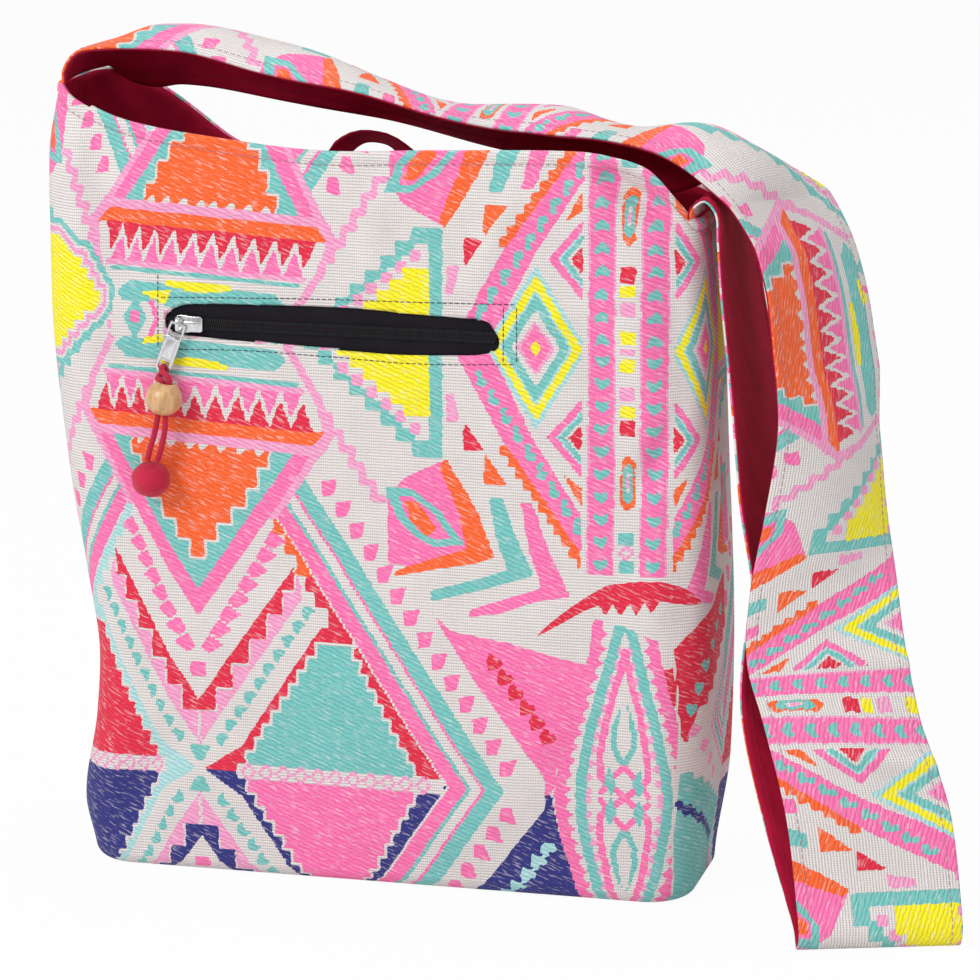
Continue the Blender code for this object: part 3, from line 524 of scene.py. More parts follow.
def weaveEye(cloth):
    # A slanting lozenge with an orange heart, and the teal and pink corners round it.
    fill(cloth, "pink", [(0, 160), (0, 192), (8, 203), (28, 213), (40, 196), (50, 168), (24, 160)])
    outer = [(29, 214), (38, 200), (46, 186), (54, 167), (44, 163), (24, 159), (3, 154), (4, 157), (22, 164),
             (40, 170), (36, 186), (30, 200), (26, 210)]
    fill(cloth, "orange", outer)
    fill(cloth, "teal", [(-2, 198), (12, 198), (26, 188), (39, 172), (24, 170), (14, 174), (4, 184)])
    fill(cloth, "pink", [(6, 194), (13, 194), (24, 185), (32, 175), (24, 173.5), (16, 177), (8, 186)])
    fill(cloth, "orange", [(8, 192), (14, 192), (25, 179), (20, 175), (12, 182)])
    fill(cloth, "teal", [(50, 196), (57, 196), (62, 182), (73, 159), (50, 151), (22, 143), (22, 148.5), (44, 155),
                         (60, 161), (54, 178)])
    fill(cloth, "pink", [(66, 194), (72, 194), (80, 172), (91, 149.5), (74, 146), (56, 139), (41, 136.5),
                         (41, 140), (58, 146), (77, 153), (71, 170)])


def weaveStrip(cloth):
    # The wide strip of red and pink teeth above the nested points.
    edge = [(-110, 215), (-38, 215), (-31, 223), (-36, 240), (-50, 264), (-110, 264)]
    fill(cloth, "white", edge)
    band(cloth, "rose", [(-58, 181), (-36, 214), (-29, 224)], 6.5)
    band(cloth, "rose", [(-29, 222), (-35, 240), (-50, 264)], 4.0)
    fill(cloth, "orange", [(-110, 216), (-38, 216), (-31, 223.5), (-110, 223.5)])
    teeth(cloth, "red", -158, -37, 223, 237.5, 11)
    teeth(cloth, "pink", -163.5, -42.5, 243, 228.5, 11)
    fill(cloth, "rose", [(-110, 241.5), (-41, 241.5), (-42, 244), (-110, 244)])
    band(cloth, "teal", [(-110, 245.6), (-45, 245.6)], 2.0)
    fill(cloth, "teal", [(-110, 251), (-57, 251), (-50, 257), (-56, 262), (-110, 262)])
    fill(cloth, "yellow", stairs((-110, 247), (-92, 249), 3) + [(-80, 249), (-80, 252)]
         + stairs((-84, 252), (-110, 255.5), 4))
    march(cloth, "rose", "block", (-97, 266.5), (34, 266.5), 9, 0.7)
    march(cloth, "teal", "block", (-89, 267), (26, 267), 8, 0.55)


def weaveSteps(cloth):
    # The yellow stepped corner under the zip and its teal border.
    border = stairs((-42, 264), (12, 214), 7, False) + [(27.5, 214), (27.5, 280), (-42, 280)]
    fill(cloth, "teal", border)
    fill(cloth, "white", stairs((-34, 264), (14, 222), 7, False) + [(21, 222), (21, 280), (-34, 280)])
    march(cloth, "rose", "block", (-22, 256), (14, 228), 6, 0.8)
    yellow = stairs((-25, 262), (8, 234), 5, False) + [(21, 234), (21, 280), (-25, 280)]
    fill(cloth, "yellow", yellow)
    fill(cloth, "rose", [(29.5, 232), (36, 232), (33, 246), (29.5, 246)])
    fill(cloth, "red", [(38, 218), (48, 219), (38, 233)])
    fill(cloth, "orange", [(48, 202), (60, 202), (48, 217.5)])
    # The pink line with steps down the left of the white ground
    band(cloth, "rose", stairs((-50, 264), (-2, 192), 9), 3.6)


def weaveSlant(cloth):
    # The pink slanting band with teal hooks and an orange saw edge.
    fill(cloth, "orange", stairs((52, 222), (94, 163), 11, False) + [(100, 163), (100, 200), (70, 222)])
    fill(cloth, "white", [(60, 222), (98, 168), (110, 168), (80, 222)])
    fill(cloth, "pink", [(34, 266), (56, 226), (98, 168), (98, 186), (72, 226), (52, 266)])
    fill(cloth, "rose", [(34, 300), (34, 266), (52, 266), (52, 300)])
    march(cloth, "teal", "hook", (46, 254), (94, 184), 9, 0.95, -12)


def weaveCrest(cloth):
    # The red crest over the leaf figure, whose right end is the shorter one.
    crest = [(73.5, 128), (82, 136.5), (91, 144), (100, 150.5), (109, 156), (125, 158.7), (136, 158.8), (147, 154.8),
             (158, 147), (150, 146.6), (141, 148), (135, 149.6), (131, 143.5), (127.5, 149), (123.6, 142), (120, 148),
             (115.8, 141), (111.8, 147), (108.4, 140.5), (105.4, 146), (98, 143), (86, 135.4)]
    fill(cloth, "white", [(96, 141), (146, 150), (158, 147), (158, 130), (140, 128), (118, 136)], True)
    fill(cloth, "red", crest, True)


def weaveSides(cloth):
    # What the two sides show once: a yellow corner and a small ring at the left, a red and a teal one at the right.
    corner = [(-212, 304), (-190, 307), (-182, 303)] + stairs((-174, 298), (-154, 277), 4, False)
    corner += stairs((-158, 272), (-184, 251), 4, False) + [(-212, 248)]
    for yarn, grow in (("teal", 8.5), ("white", 5.6), ("rose", 4.0), ("white", 1.6), ("yellow", 0.0)):
        fill(cloth, yarn, corner, True, grow)
    fill(cloth, "white", [(-146, 279), (-113, 279), (-113, 261), (-146, 261)], True)
    fill(cloth, "teal", [(-131, 281), (-123.5, 271), (-131, 260), (-139, 271)], True)
    fill(cloth, "pink", figureAt("block", -131.5, 271.5, 0.85), True)
    fill(cloth, "yellow", stairs((-128, 284), (-112, 279), 3) + [(-110, 286)], True)
    fill(cloth, "yellow", [(-127, 258), (-112, 260), (-114, 264), (-124, 262)], True)
    band(cloth, "pink", [(-121, 279), (-117, 271), (-121, 263)], 3.2, True)

    fill(cloth, "white", [(141, 130), (158, 142), (210, 162), (210, -40), (148, -40), (144, 60), (145, 100)], True)
    for yarn, grow in (("white", 1.2), ("red", 0.0)):
        fill(cloth, yarn, [(142, 126), (147, 131), (158, 139), (180, 149), (204, 157), (204, 138)]
             + stairs((200, 132), (156, 96), 6) + [(149, 78), (146, 83), (144.5, 105)], True, grow)
    hearts = ((187, 137, 20), (178, 131, 10), (169, 124, 10), (161, 115.5, 0), (156, 105, -10), (151.5, 95, -10))
    for x, z, turn in hearts:
        fill(cloth, "teal", figureAt("heart", x, z, 0.95, turn), True)
    for yarn, shift, wide in (("rose", 0, 2.4), ("teal", 7, 3.0), ("pink", 13, 2.6), ("teal", 19, 2.0)):
        band(cloth, yarn, [(204, 122 - shift), (168 + shift, 84), (204, 50 + shift)], wide, True)
    march(cloth, "rose", "wedge", (154, 84), (176, 58), 4, 0.9, -30, True)
    for yarn, grow in (("white", 1.2), ("teal", 0.0)):
        fill(cloth, yarn, stairs((146, 64), (204, 32), 8, False) + [(204, -40), (144, -40), (142.5, 29)], True, grow)
    march(cloth, "navy", "hook", (148, 46), (182, 23), 5, 1.2, 25, True)


def drawCloth(across, along):
    cloth = newCloth(np.ravel(across).astype(float), np.ravel(along).astype(float))
    weaveDiamond(cloth)
    weaveSteps(cloth)
    weaveStrip(cloth)
    weaveVees(cloth)
    weaveField(cloth)
    weaveEye(cloth)
    weaveSlant(cloth)
    weaveGem(cloth)
    weaveColumns(cloth)
    weaveLens(cloth)
    weaveCrest(cloth)
    weaveSides(cloth)
    return cloth["cover"]


def keepYarns(mesh, cover):
    # Three colour layers hold how much of each of the nine yarns shows at a point.
    for k, name in enumerate(("yarnsA", "yarnsB", "yarnsC")):
        layer = mesh.color_attributes.new(name, "FLOAT_COLOR", "POINT")
        values = np.ones((cover.shape[0], 4), np.float32)
        values[:, :3] = cover[:, 3 * k:3 * k + 3]
        layer.data.foreach_set("color", values.reshape(-1))


# Materials. Effects that several of them share are node groups.
def newGroup(name, inputs, outputs):
    group = bpy.data.node_groups.new(name, "ShaderNodeTree")
    for label, kind in inputs:
        group.interface.new_socket(name=label, in_out="INPUT", socket_type=kind)
    for label, kind in outputs:
        group.interface.new_socket(name=label, in_out="OUTPUT", socket_type=kind)
    start, end = group.nodes.new("NodeGroupInput"), group.nodes.new("NodeGroupOutput")
    return group, start, end


def mathNode(tree, operation, first, second=None, third=None):
    node = tree.nodes.new("ShaderNodeMath")
    node.operation = operation
    for k, value in enumerate((first, second, third)):
        if value is None:
            continue
        if isinstance(value, (int, float)):
            node.inputs[k].default_value = value
        else:
            tree.links.new(value, node.inputs[k])
    return node.outputs[0]


def mixColour(tree, amount, first, second, blend="MIX"):
    node = tree.nodes.new("ShaderNodeMix")
    node.data_type = "RGBA"
    node.blend_type = blend
    for socket, value in ((node.inputs[0], amount), (node.inputs[6], first), (node.inputs[7], second)):
        if isinstance(value, (int, float)):
            socket.default_value = value
        elif isinstance(value, tuple):
            socket.default_value = (*value, 1)
        else:
            tree.links.new(value, socket)
    return node.outputs[2]


def noiseNode(tree, place, scale, detail=2.0, distortion=0.0):
    node = tree.nodes.new("ShaderNodeTexNoise")
    for label, value in (("Scale", scale), ("Detail", detail), ("Distortion", distortion)):
        node.inputs[label].default_value = value
    tree.links.new(place, node.inputs["Vector"])
    return node.outputs[0]


def ridges(tree, place, often, shift=0.0):
    # Rounded ridges along one way, where often is pi divided by their pitch.
    return mathNode(tree, "ABSOLUTE", mathNode(tree, "SINE", mathNode(tree, "MULTIPLY_ADD", place, often, shift)))


def newFinish(name, values):
    # A material whose main shader has its plain values set.
    material = bpy.data.materials.new(name)
    material.use_nodes = True
    shader = material.node_tree.nodes["Principled BSDF"]
    for label, value in values.items():
        shader.inputs[label].default_value = value
    return material, material.node_tree, shader


def addBump(tree, shader, height, strength, distance):
    node = tree.nodes.new("ShaderNodeBump")
    node.inputs["Strength"].default_value = strength
    node.inputs["Distance"].default_value = distance
    tree.links.new(height, node.inputs["Height"])
    tree.links.new(node.outputs[0], shader.inputs["Normal"])


def yarnGroup():
    # Picks the yarn that covers a point most, so that the figures keep sharp edges.
    group, start, end = newGroup("yarnColour", [("A", "NodeSocketColor"), ("B", "NodeSocketColor"),
                                                ("C", "NodeSocketColor")],
                                 [("Colour", "NodeSocketColor"), ("Float", "NodeSocketFloat")])
    amounts = []
    for label in ("A", "B", "C"):
        split = group.nodes.new("ShaderNodeSeparateColor")
        group.links.new(start.outputs[label], split.inputs[0])
        amounts += list(split.outputs)
    colour = None
    best = amounts[0]
    for amount, shade in zip(amounts, yarns.values()):
        if colour is None:
            colour = shade
            continue
        more = mathNode(group, "GREATER_THAN", amount, best)
        colour = mixColour(group, more, colour, shade)
        best = mathNode(group, "MAXIMUM", best, amount)
    raised = mathNode(group, "LESS_THAN", amounts[0], best)
    group.links.new(colour, end.inputs["Colour"])
    group.links.new(raised, end.inputs["Float"])
    return group


# Threads of the outer cloth: pitches in millimetres, and how strongly each effect shows.
threads = {"rib": 1.45, "warp": 1.1, "float": 2.3, "satin": 0.72, "slant": 0.4, "wander": 1.6, "patches": 0.14,
           "flecks": 0.3, "relief": 0.8, "depth": 0.0007}


def weaveGroup():
    # Fine ribs in the plain ground and longer slanting floats in the coloured figures.
    group, start, end = newGroup("threads", [("Cloth", "NodeSocketVector"), ("Float", "NodeSocketFloat")],
                                 [("Height", "NodeSocketFloat"), ("Shade", "NodeSocketFloat"),
                                  ("Fleck", "NodeSocketFloat")])
    place, coloured = start.outputs["Cloth"], start.outputs["Float"]
    split = group.nodes.new("ShaderNodeSeparateXYZ")
    group.links.new(place, split.inputs[0])
    u, v = split.outputs[0], split.outputs[1]
    drift = mathNode(group, "MULTIPLY", noiseNode(group, place, 0.35, 3), threads["wander"])
    rib = ridges(group, v, math.pi / threads["rib"], drift)
    warp = ridges(group, u, math.pi / threads["warp"], drift)
    ground = mathNode(group, "MULTIPLY_ADD", warp, 0.35, mathNode(group, "MULTIPLY", rib, 0.65))
    slanted = mathNode(group, "MULTIPLY_ADD", u, threads["slant"], v)
    floats = ridges(group, slanted, math.pi / threads["float"], mathNode(group, "MULTIPLY", drift, 2.4))
    floats = mathNode(group, "MULTIPLY_ADD", mathNode(group, "POWER", floats, 0.7), 0.6, 0.3)
    satin = mathNode(group, "MULTIPLY_ADD", ridges(group, v, math.pi / threads["satin"]), 0.25, floats)
    mix = group.nodes.new("ShaderNodeMix")
    group.links.new(coloured, mix.inputs[0])
    group.links.new(ground, mix.inputs[2])
    group.links.new(satin, mix.inputs[3])
    height = mix.outputs[0]
    group.links.new(height, end.inputs["Height"])
    # Painted shade: the colour is darker in the grooves between threads and lighter on their crests, with slow patches
    # of tone that differ at random added.
    patches = mathNode(group, "MULTIPLY_ADD", noiseNode(group, place, 0.05), threads["patches"],
                       -threads["patches"] / 2)
    shade = mathNode(group, "ADD", mathNode(group, "MULTIPLY_ADD", height, 0.5, 0.57), patches)
    group.links.new(shade, end.inputs["Shade"])
    # Flecks: short pale threads of the ground that show between the floats.
    line = group.nodes.new("ShaderNodeCombineXYZ")
    group.links.new(mathNode(group, "MULTIPLY", u, 0.22), line.inputs[0])
    group.links.new(mathNode(group, "MULTIPLY", slanted, 1.1), line.inputs[1])
    fleck = mathNode(group, "MULTIPLY_ADD", noiseNode(group, line.outputs[0], 0.8), 7.0, -4.0)
    fleck = mathNode(group, "MINIMUM", mathNode(group, "MAXIMUM", fleck, 0.0), threads["flecks"])
    group.links.new(mathNode(group, "MULTIPLY", fleck, coloured), end.inputs["Fleck"])
    return group


def placeGroup(tree, group, links):
    node = tree.nodes.new("ShaderNodeGroup")
    node.node_tree = group
    for label, source in links.items():
        tree.links.new(source, node.inputs[label])
    return node


def attribute(tree, name):
    node = tree.nodes.new("ShaderNodeAttribute")
    node.attribute_type = "GEOMETRY"
    node.attribute_name = name
    return node


def makeClothFinish():
    material, tree, shader = newFinish("wovenCloth", {"Roughness": 0.8, "Specular IOR Level": 0.25,
                                                      "Sheen Weight": 0.1})
    layers = {label: attribute(tree, "yarns" + label).outputs["Color"] for label in ("A", "B", "C")}
    yarn = placeGroup(tree, yarnGroup(), layers)
    weave = placeGroup(tree, weaveGroup(), {"Cloth": attribute(tree, "cloth").outputs["Vector"],
                                            "Float": yarn.outputs["Float"]})
    colour = mixColour(tree, weave.outputs["Fleck"], yarn.outputs["Colour"], yarns["white"])
    # The weave's painted shade darkens the colour in the grooves between threads.
    colour = mixColour(tree, 1.0, colour, weave.outputs["Shade"], "MULTIPLY")
    tree.links.new(colour, shader.inputs["Base Color"])
    addBump(tree, shader, weave.outputs["Height"], threads["relief"], threads["depth"])
    return material


def plainWeaveGroup():
    # A fine plain weave, for the lining, the tapes, the coils, the threads and the cord.
    group, start, end = newGroup("plainWeave", [("Cloth", "NodeSocketVector"), ("Pitch", "NodeSocketFloat")],
                                 [("Height", "NodeSocketFloat"), ("Drift", "NodeSocketFloat")])
    split = group.nodes.new("ShaderNodeSeparateXYZ")
    group.links.new(start.outputs["Cloth"], split.inputs[0])
    often = mathNode(group, "DIVIDE", math.pi, start.outputs["Pitch"])
    height = mathNode(group, "ADD", ridges(group, split.outputs[0], often), ridges(group, split.outputs[1], often))
    group.links.new(height, end.inputs["Height"])
    group.links.new(noiseNode(group, start.outputs["Cloth"], 0.06, 4), end.inputs["Drift"])
    return group


plainWeave = plainWeaveGroup()


def threadFinish(name, dark, light, pitch, roughness=0.85, sheen=0.2, strength=0.5):
    # Cloth or thread of one colour, with a fine weave and slow changes of tone; painted shade makes it darker in the
    # grooves between threads.
    material, tree, shader = newFinish(name, {"Roughness": roughness, "Specular IOR Level": 0.12,
                                              "Sheen Weight": sheen})
    weave = placeGroup(tree, plainWeave, {"Cloth": attribute(tree, "cloth").outputs["Vector"]})
    weave.inputs["Pitch"].default_value = pitch
    # Painted shade from the weave's height, darker in the grooves between threads, added to slow random tone.
    shadeAndTone = mathNode(tree, "MULTIPLY_ADD", weave.outputs["Height"], 0.25, weave.outputs["Drift"])
    colour = mixColour(tree, mathNode(tree, "SUBTRACT", shadeAndTone, 0.2), dark, light)
    tree.links.new(colour, shader.inputs["Base Color"])
    addBump(tree, shader, weave.outputs["Height"], strength, 0.0002)
    return material


def grainFinish(name, dark, light, stretch, scale, roughness, metallic=0.0, coat=0.0):
    # Wood or metal: noise drawn out along one way sets the tone, the shine and a slight relief.
    material, tree, shader = newFinish(name, {"Metallic": metallic, "Coat Weight": coat})
    spread = tree.nodes.new("ShaderNodeMapping")
    spread.inputs["Scale"].default_value = stretch
    tree.links.new(attribute(tree, "cloth").outputs["Vector"], spread.inputs["Vector"])
    grain = noiseNode(tree, spread.outputs[0], scale, 5, 0.6)
    sharp = mathNode(tree, "MULTIPLY_ADD", grain, 2.4, -0.7)
    tree.links.new(mixColour(tree, sharp, dark, light), shader.inputs["Base Color"])
    tree.links.new(mathNode(tree, "MULTIPLY_ADD", grain, 0.2, roughness - 0.1), shader.inputs["Roughness"])
    addBump(tree, shader, grain, 0.3, 0.0001)
    return material


clothFinish = makeClothFinish()
liningFinish = threadFinish("liningCloth", (0.24, 0.003, 0.020), (0.66, 0.013, 0.066), 0.55, 0.8, 0.0)
tapeFinish = threadFinish("zipTape", (0.004, 0.0035, 0.0055), (0.016, 0.013, 0.02), 0.8, 0.75, 0.0)
coilFinish = threadFinish("zipCoil", (0.012, 0.012, 0.015), (0.045, 0.045, 0.05), 0.4, 0.45, 0.0, 0.2)
darkThread = threadFinish("darkThread", (0.03, 0.02, 0.035), (0.09, 0.06, 0.10), 0.3, 0.7)
paleThread = threadFinish("paleThread", (0.40, 0.17, 0.25), (0.66, 0.38, 0.46), 0.3, 0.7)
redThread = threadFinish("redThread", (0.25, 0.006, 0.03), (0.5, 0.02, 0.06), 0.3, 0.7)
cordFinish = threadFinish("redCord", (0.36, 0.008, 0.032), (0.66, 0.028, 0.075), 0.45, 0.75, 0.15)
steelFinish = grainFinish("polishedSteel", (0.62, 0.62, 0.63), (0.82, 0.82, 0.83), (1, 1, 0.25), 0.5, 0.24, 1.0)
woodFinish = grainFinish("paleWood", (0.48, 0.245, 0.10), (0.78, 0.48, 0.235), (1.0, 1.0, 0.16), 0.4, 0.42, 0.0, 0.25)
print("finishes made")


# Body of the bag: the same forms as the solids, drawn finer.
body = {
    "corner": 24.0, "baseRound": 6.0, "seam": 3.0, "gap": 0.3, "hemFold": 1.25, "hemDepth": 12.0, "stitchAt": 6.6,
    # Shares of the way across where a side ends and the face begins, and lengths of side, corner and face.
    "sideTo": 0.1, "faceFrom": 0.2, "runs": (26, 37.7, 265, 37.7, 26),
    "left": [(0, 159), (30, 164), (75, 157), (105, 155), (150, 161), (200, 169), (290, 176.5), (355, 176.5),
             (392, 172.5)],
    "right": [(0, 149), (60, 156), (115, 157), (230, 153), (334, 150), (370, 148)],
    "frontDepth": [(0, 46), (50, 48), (110, 48), (180, 47), (335, 47), (365, 45), (392, 42)],
    "backDepth": [(0, 46), (80, 50), (180, 49), (300, 44), (340, 41), (392, 42)],
    "frontTop": [(-171, 391), (-160, 385), (-130, 375), (-96, 370), (-28, 364.5), (20, 366.5), (91, 368.5),
                 (114, 366), (126, 362), (135, 355), (142, 345), (146, 338.5), (150, 336.5)],
    "backTop": [(-171, 391), (-148, 384), (-123, 370.5), (-100, 355.5), (-70, 343.5), (0, 338.5), (90, 338.5),
                (112, 340.5), (132, 342.5), (144, 341), (150, 339)],
    "leftTop": 391.0, "faceTop": 350.0, "rightTop": 336.5,
    "cut": {-1: (0.395, 0.435, 0.167), 1: (0.395, 0.435, 0.1535)},
    "frontRelief": [(25, 95, 70, 55, 4.0), (128, 250, 22, 90, -3.0), (122, 340, 18, 26, -5.0)],
    "backRelief": [(0, 120, 90, 80, 6.0), (-60, 250, 50, 60, -3.0), (70, 270, 40, 60, 2.5)],
    "cell": 1.42, "coarse": {-1: 2, 1: 4}, "around": 392, "tall": 352, "baseSteps": 9, "thick": 1.0,
    # Parts of the front wall: sewn to the zip, over the pouch and under the pull. Each has a left, right, lower and
    # upper side, as (outer place, inner place).
    "sewn": ((-130, -119), (76, 64), (254, 262), (302, 294)),
    "pouch": ((-132, -118), (76, 63), (168, 178), None),
    "pull": ((-165, -145), (85, 68), (178, 190), (268, 258)),
    # Folds of each wall: from, to, half width and height of the ridge, or of the valley where it is below 0.
    "frontFolds": [
        ((108, 356), (146, 333), 5.5, -7.5), ((112, 368), (136, 352), 5.0, 3.0), ((104, 346), (146, 316), 6.5, 3.2),
        ((138, 318), (144, 262), 8.0, -4.6), ((146, 250), (128, 214), 7.0, -3.6), ((140, 214), (146, 150), 9.0, -3.0),
        ((120, 322), (126, 232), 8.0, 2.4), ((84, 352), (104, 250), 9.0, -1.4), ((106, 226), (120, 206), 6.0, -1.8),
        ((-152, 376), (-132, 306), 8.0, -2.2), ((-158, 350), (-146, 250), 8.0, 1.6),
        ((-138, 300), (-120, 200), 12.0, 1.2), ((-96, 262), (-108, 214), 5.0, 1.0), ((-52, 261), (-62, 222), 6.0, 0.9),
        ((4, 260), (10, 214), 7.0, 1.5), ((44, 262), (62, 216), 6.0, 1.7), ((-70, 300), (-62, 340), 6.0, 0.8),
        ((-12, 302), (-2, 344), 7.0, 1.4), ((42, 300), (60, 342), 7.0, 1.7), ((70, 284), (112, 300), 6.0, 1.0),
        ((-148, 16), (-112, 66), 12.0, -2.4), ((136, 14), (96, 70), 14.0, -2.6), ((-20, 20), (60, 44), 12.0, 1.2),
        ((128, 150), (140, 60), 12.0, 2.0), ((-80, 150), (-20, 176), 18.0, -1.4), ((30, 190), (90, 150), 16.0, 1.4),
        ((-30, 120), (50, 96), 18.0, -1.2), ((60, 60), (20, 8), 16.0, 1.4),
    ],
    "backFolds": [
        ((-120, 360), (-60, 300), 10.0, -1.8), ((110, 330), (60, 220), 14.0, 1.6),
        ((-130, 60), (-60, 120), 16.0, -1.6), ((40, 40), (110, 90), 14.0, 1.6),
        ((-30, 250), (30, 200), 16.0, -1.4), ((120, 160), (130, 60), 10.0, -1.4),
    ],
}
leftWidth = lineThrough(body["left"])
rightWidth = lineThrough(body["right"])
wallDepth = {-1: lineThrough(body["frontDepth"]), 1: lineThrough(body["backDepth"])}
mouthLine = {-1: lineThrough(body["frontTop"]), 1: lineThrough(body["backTop"])}


def share(x, z, sides):
    # 1 inside a part of the wall and 0 outside it, with an easy change at each side.
    left, right, low, high = sides
    amount = ease(*left, x) * ease(-right[0], -right[1], -x) * ease(*low, z)
    return amount if high is None else amount * ease(-high[0], -high[1], -z)


def foldHeight(side, x, z):
    # How far the folds lift the wall; the sum of all of them.
    total = 0.0
    for (ax, az), (bx, bz), wide, high in body["frontFolds" if side < 0 else "backFolds"]:
        dx, dz = bx - ax, bz - az
        t = ((x - ax) * dx + (z - az) * dz) / (dx * dx + dz * dz)
        off = np.hypot(x - ax - dx * t, z - az - dz * t)
        ends = np.clip(np.maximum(-t, t - 1), 0, None) * math.hypot(dx, dz)
        total = total + high * np.exp(-(off / wide) ** 2 - (ends / (wide * 1.3)) ** 2)
    if side < 0:
        # The cloth stays where it is sewn to the zip, clear of the pouch and flat under the pull.
        sewn, pouch, under = (share(x, z, body[part]) for part in ("sewn", "pouch", "pull"))
        low = np.maximum(total, -0.9 * pouch - 9 * (1 - pouch))
        total = np.where(total < 0, low, total * (1 - 0.95 * under)) * (1 - 0.85 * sewn)
    return total


def wallPoint(side, place, z, inset=0.0):
    # A point of the front (-1) or back (1) wall, with the cloth's own length across from the middle.
    left = leftWidth(z) - inset
    right = rightWidth(z) - inset
    deep = wallDepth[side](z) - inset
    r = body["corner"] - np.minimum(inset, body["corner"] - 2)
    seam = body["seam"] + side * body["gap"] / 2
    reach = deep - r
    sideTo, faceFrom = body["sideTo"], body["faceFrom"]
    onLeft = place < 0.5
    onFace = (place > faceFrom) & (place < 1 - faceFrom)
    t = np.where(onLeft, place, 1 - place)
    onSide = t <= sideTo
    run = np.clip(t / sideTo, 0, 1)
    turn = np.clip((t - sideTo) / (faceFrom - sideTo), 0, 1) * math.pi / 2
    face = np.clip((place - faceFrom) / (1 - 2 * faceFrom), 0, 1)
    y = np.where(onSide, seam + (side * reach - seam) * run, side * (reach + r * np.sin(turn)))
    width = np.where(onLeft, left, right)
    outX = np.where(onSide, width, width - r + r * np.cos(turn))
    faceX = -left + r + (left + right - 2 * r) * face
    x = np.where(onFace, faceX, np.where(onLeft, -outX, outX))
    beyond = r * (math.pi / 2 - turn) + np.abs(side * reach - y) * onSide
    edge = width - r + beyond
    across = np.where(onFace, faceX, np.where(onLeft, -edge, edge))
    relief = body["frontRelief"] if side < 0 else body["backRelief"]
    flat = ease(sideTo, faceFrom, place) * ease(sideTo, faceFrom, 1 - place) * ease(0, body["corner"], z)
    outerX = wallPoint(side, place, z)[0] if np.any(inset) else x
    swell = sum(high * bump(outerX, z, cx, cz, wx, wz) for cx, cz, wx, wz, high in relief)
    swell = swell + foldHeight(side, outerX, z)
    return x, y + side * flat * swell, across


def mouthHeight(side, place):
    # Height of the mouth's edge, led to the two seams' own heights over the sides.
    faceFrom = body["faceFrom"]
    tall, low = body["leftTop"], body["rightTop"]
    leftX = wallPoint(side, place, np.full_like(place, tall))[0]
    rightX = wallPoint(side, place, np.full_like(place, body["faceTop"]))[0]
    middle = mouthLine[side](rightX)
    onLeft = tall + (mouthLine[side](leftX) - tall) * ease(0.0, faceFrom, place)
    onRight = low + (middle - low) * ease(0.0, faceFrom, 1 - place)
    return np.where(place < faceFrom, onLeft, np.where(place > 1 - faceFrom, onRight, middle))


def evenPlaces(count):
    # Places across the wall at even lengths of cloth.
    lengths = np.cumsum((0,) + body["runs"])
    sideTo, faceFrom = body["sideTo"], body["faceFrom"]
    return np.interp(np.linspace(0, lengths[-1], count), lengths, [0, sideTo, faceFrom, 1 - faceFrom, 1 - sideTo, 1])


def panelGrid(side):
    # Rows run from the base seam, out over the base, up the wall, over the fold and down inside.
    coarse = body["coarse"][side]
    cols = coarse * round(body["around"] / body["cell"] / coarse) + 1
    place = evenPlaces(cols)
    top = mouthHeight(side, place)
    fold, base = body["hemFold"], body["baseRound"]
    rows, lengths = [], []

    def addRow(z, inset, length):
        x, y = wallPoint(side, place, z, inset)[:2]
        rows.append(np.stack([x, y, z], -1))
        lengths.append(length)

    ringX, ringY = wallPoint(side, place, np.zeros(cols), base)[:2]
    seamX = ringX[0] + (ringX[-1] - ringX[0]) * place
    seamY = body["seam"] + side * body["gap"] / 2
    baseSteps = np.linspace(0, 1, body["baseSteps"])[:-1]
    for t in baseSteps:
        rows.append(np.stack([seamX + (ringX - seamX) * t, seamY + (ringY - seamY) * t, np.zeros(cols)], -1))
        lengths.append(np.full(cols, -12 - 30 * (1 - t)))
    for t in baseSteps:
        a = t * math.pi / 2
        z = np.full(cols, base * (1 - math.cos(a)))
        addRow(z, base * (1 - math.sin(a)), z - base * (1 - t))
    for t in np.linspace(0, 1, round(body["tall"] / body["cell"])):
        z = base + (top - fold - base) * t
        # The hem sinks in at its stitching and swells between the stitching and the fold.
        sink = 0.65 * np.exp(-((z - top + body["stitchAt"]) / 1.4) ** 2)
        addRow(z, sink - 0.45 * np.exp(-((z - top + 3.2) / 1.8) ** 2), z)
    for turn in (30, 60, 90, 120, 150, 180):
        a = math.radians(turn)
        addRow(top - fold + fold * math.sin(a), fold * (1 - math.cos(a)), top - fold + fold * a)
    for t in np.linspace(0, 1, 6)[1:]:
        z = top - fold - (body["hemDepth"] - fold) * t
        addRow(z, 2 * fold, 2 * top - fold - z)
    while (len(rows) - 1) % coarse:
        rows.insert(-1, (rows[-2] + rows[-1]) / 2)
        lengths.insert(-1, (lengths[-2] + lengths[-1]) / 2)
    grid = np.array(rows)
    along = np.array(lengths)
    across = np.stack([wallPoint(side, place, np.clip(z, 0, None))[2] for z in grid[:, :, 2]])
    if side > 0:
        grid, along, across = grid[:, ::-1], along[:, ::-1], -across[:, ::-1]
    return grid, across, along


# The opening for the zip: a slit whose edges wander, wider at the right and drawn in at both ends.
zipSlot = {"z": 278.0, "edge": [
    (-111.6, 278.6), (-109.6, 283.0), (-105.3, 285.8), (-95.7, 287.8), (-60, 288.9), (-18.7, 289.3), (10, 287.9),
    (34.8, 286.9), (48.0, 286.2), (52.6, 282.4), (55.6, 276.4), (53.4, 271.8), (45, 269.4), (33.2, 268.6),
    (5.0, 267.6), (-34.9, 269.0), (-83.3, 271.1), (-101.0, 272.4), (-109.2, 274.2)]}


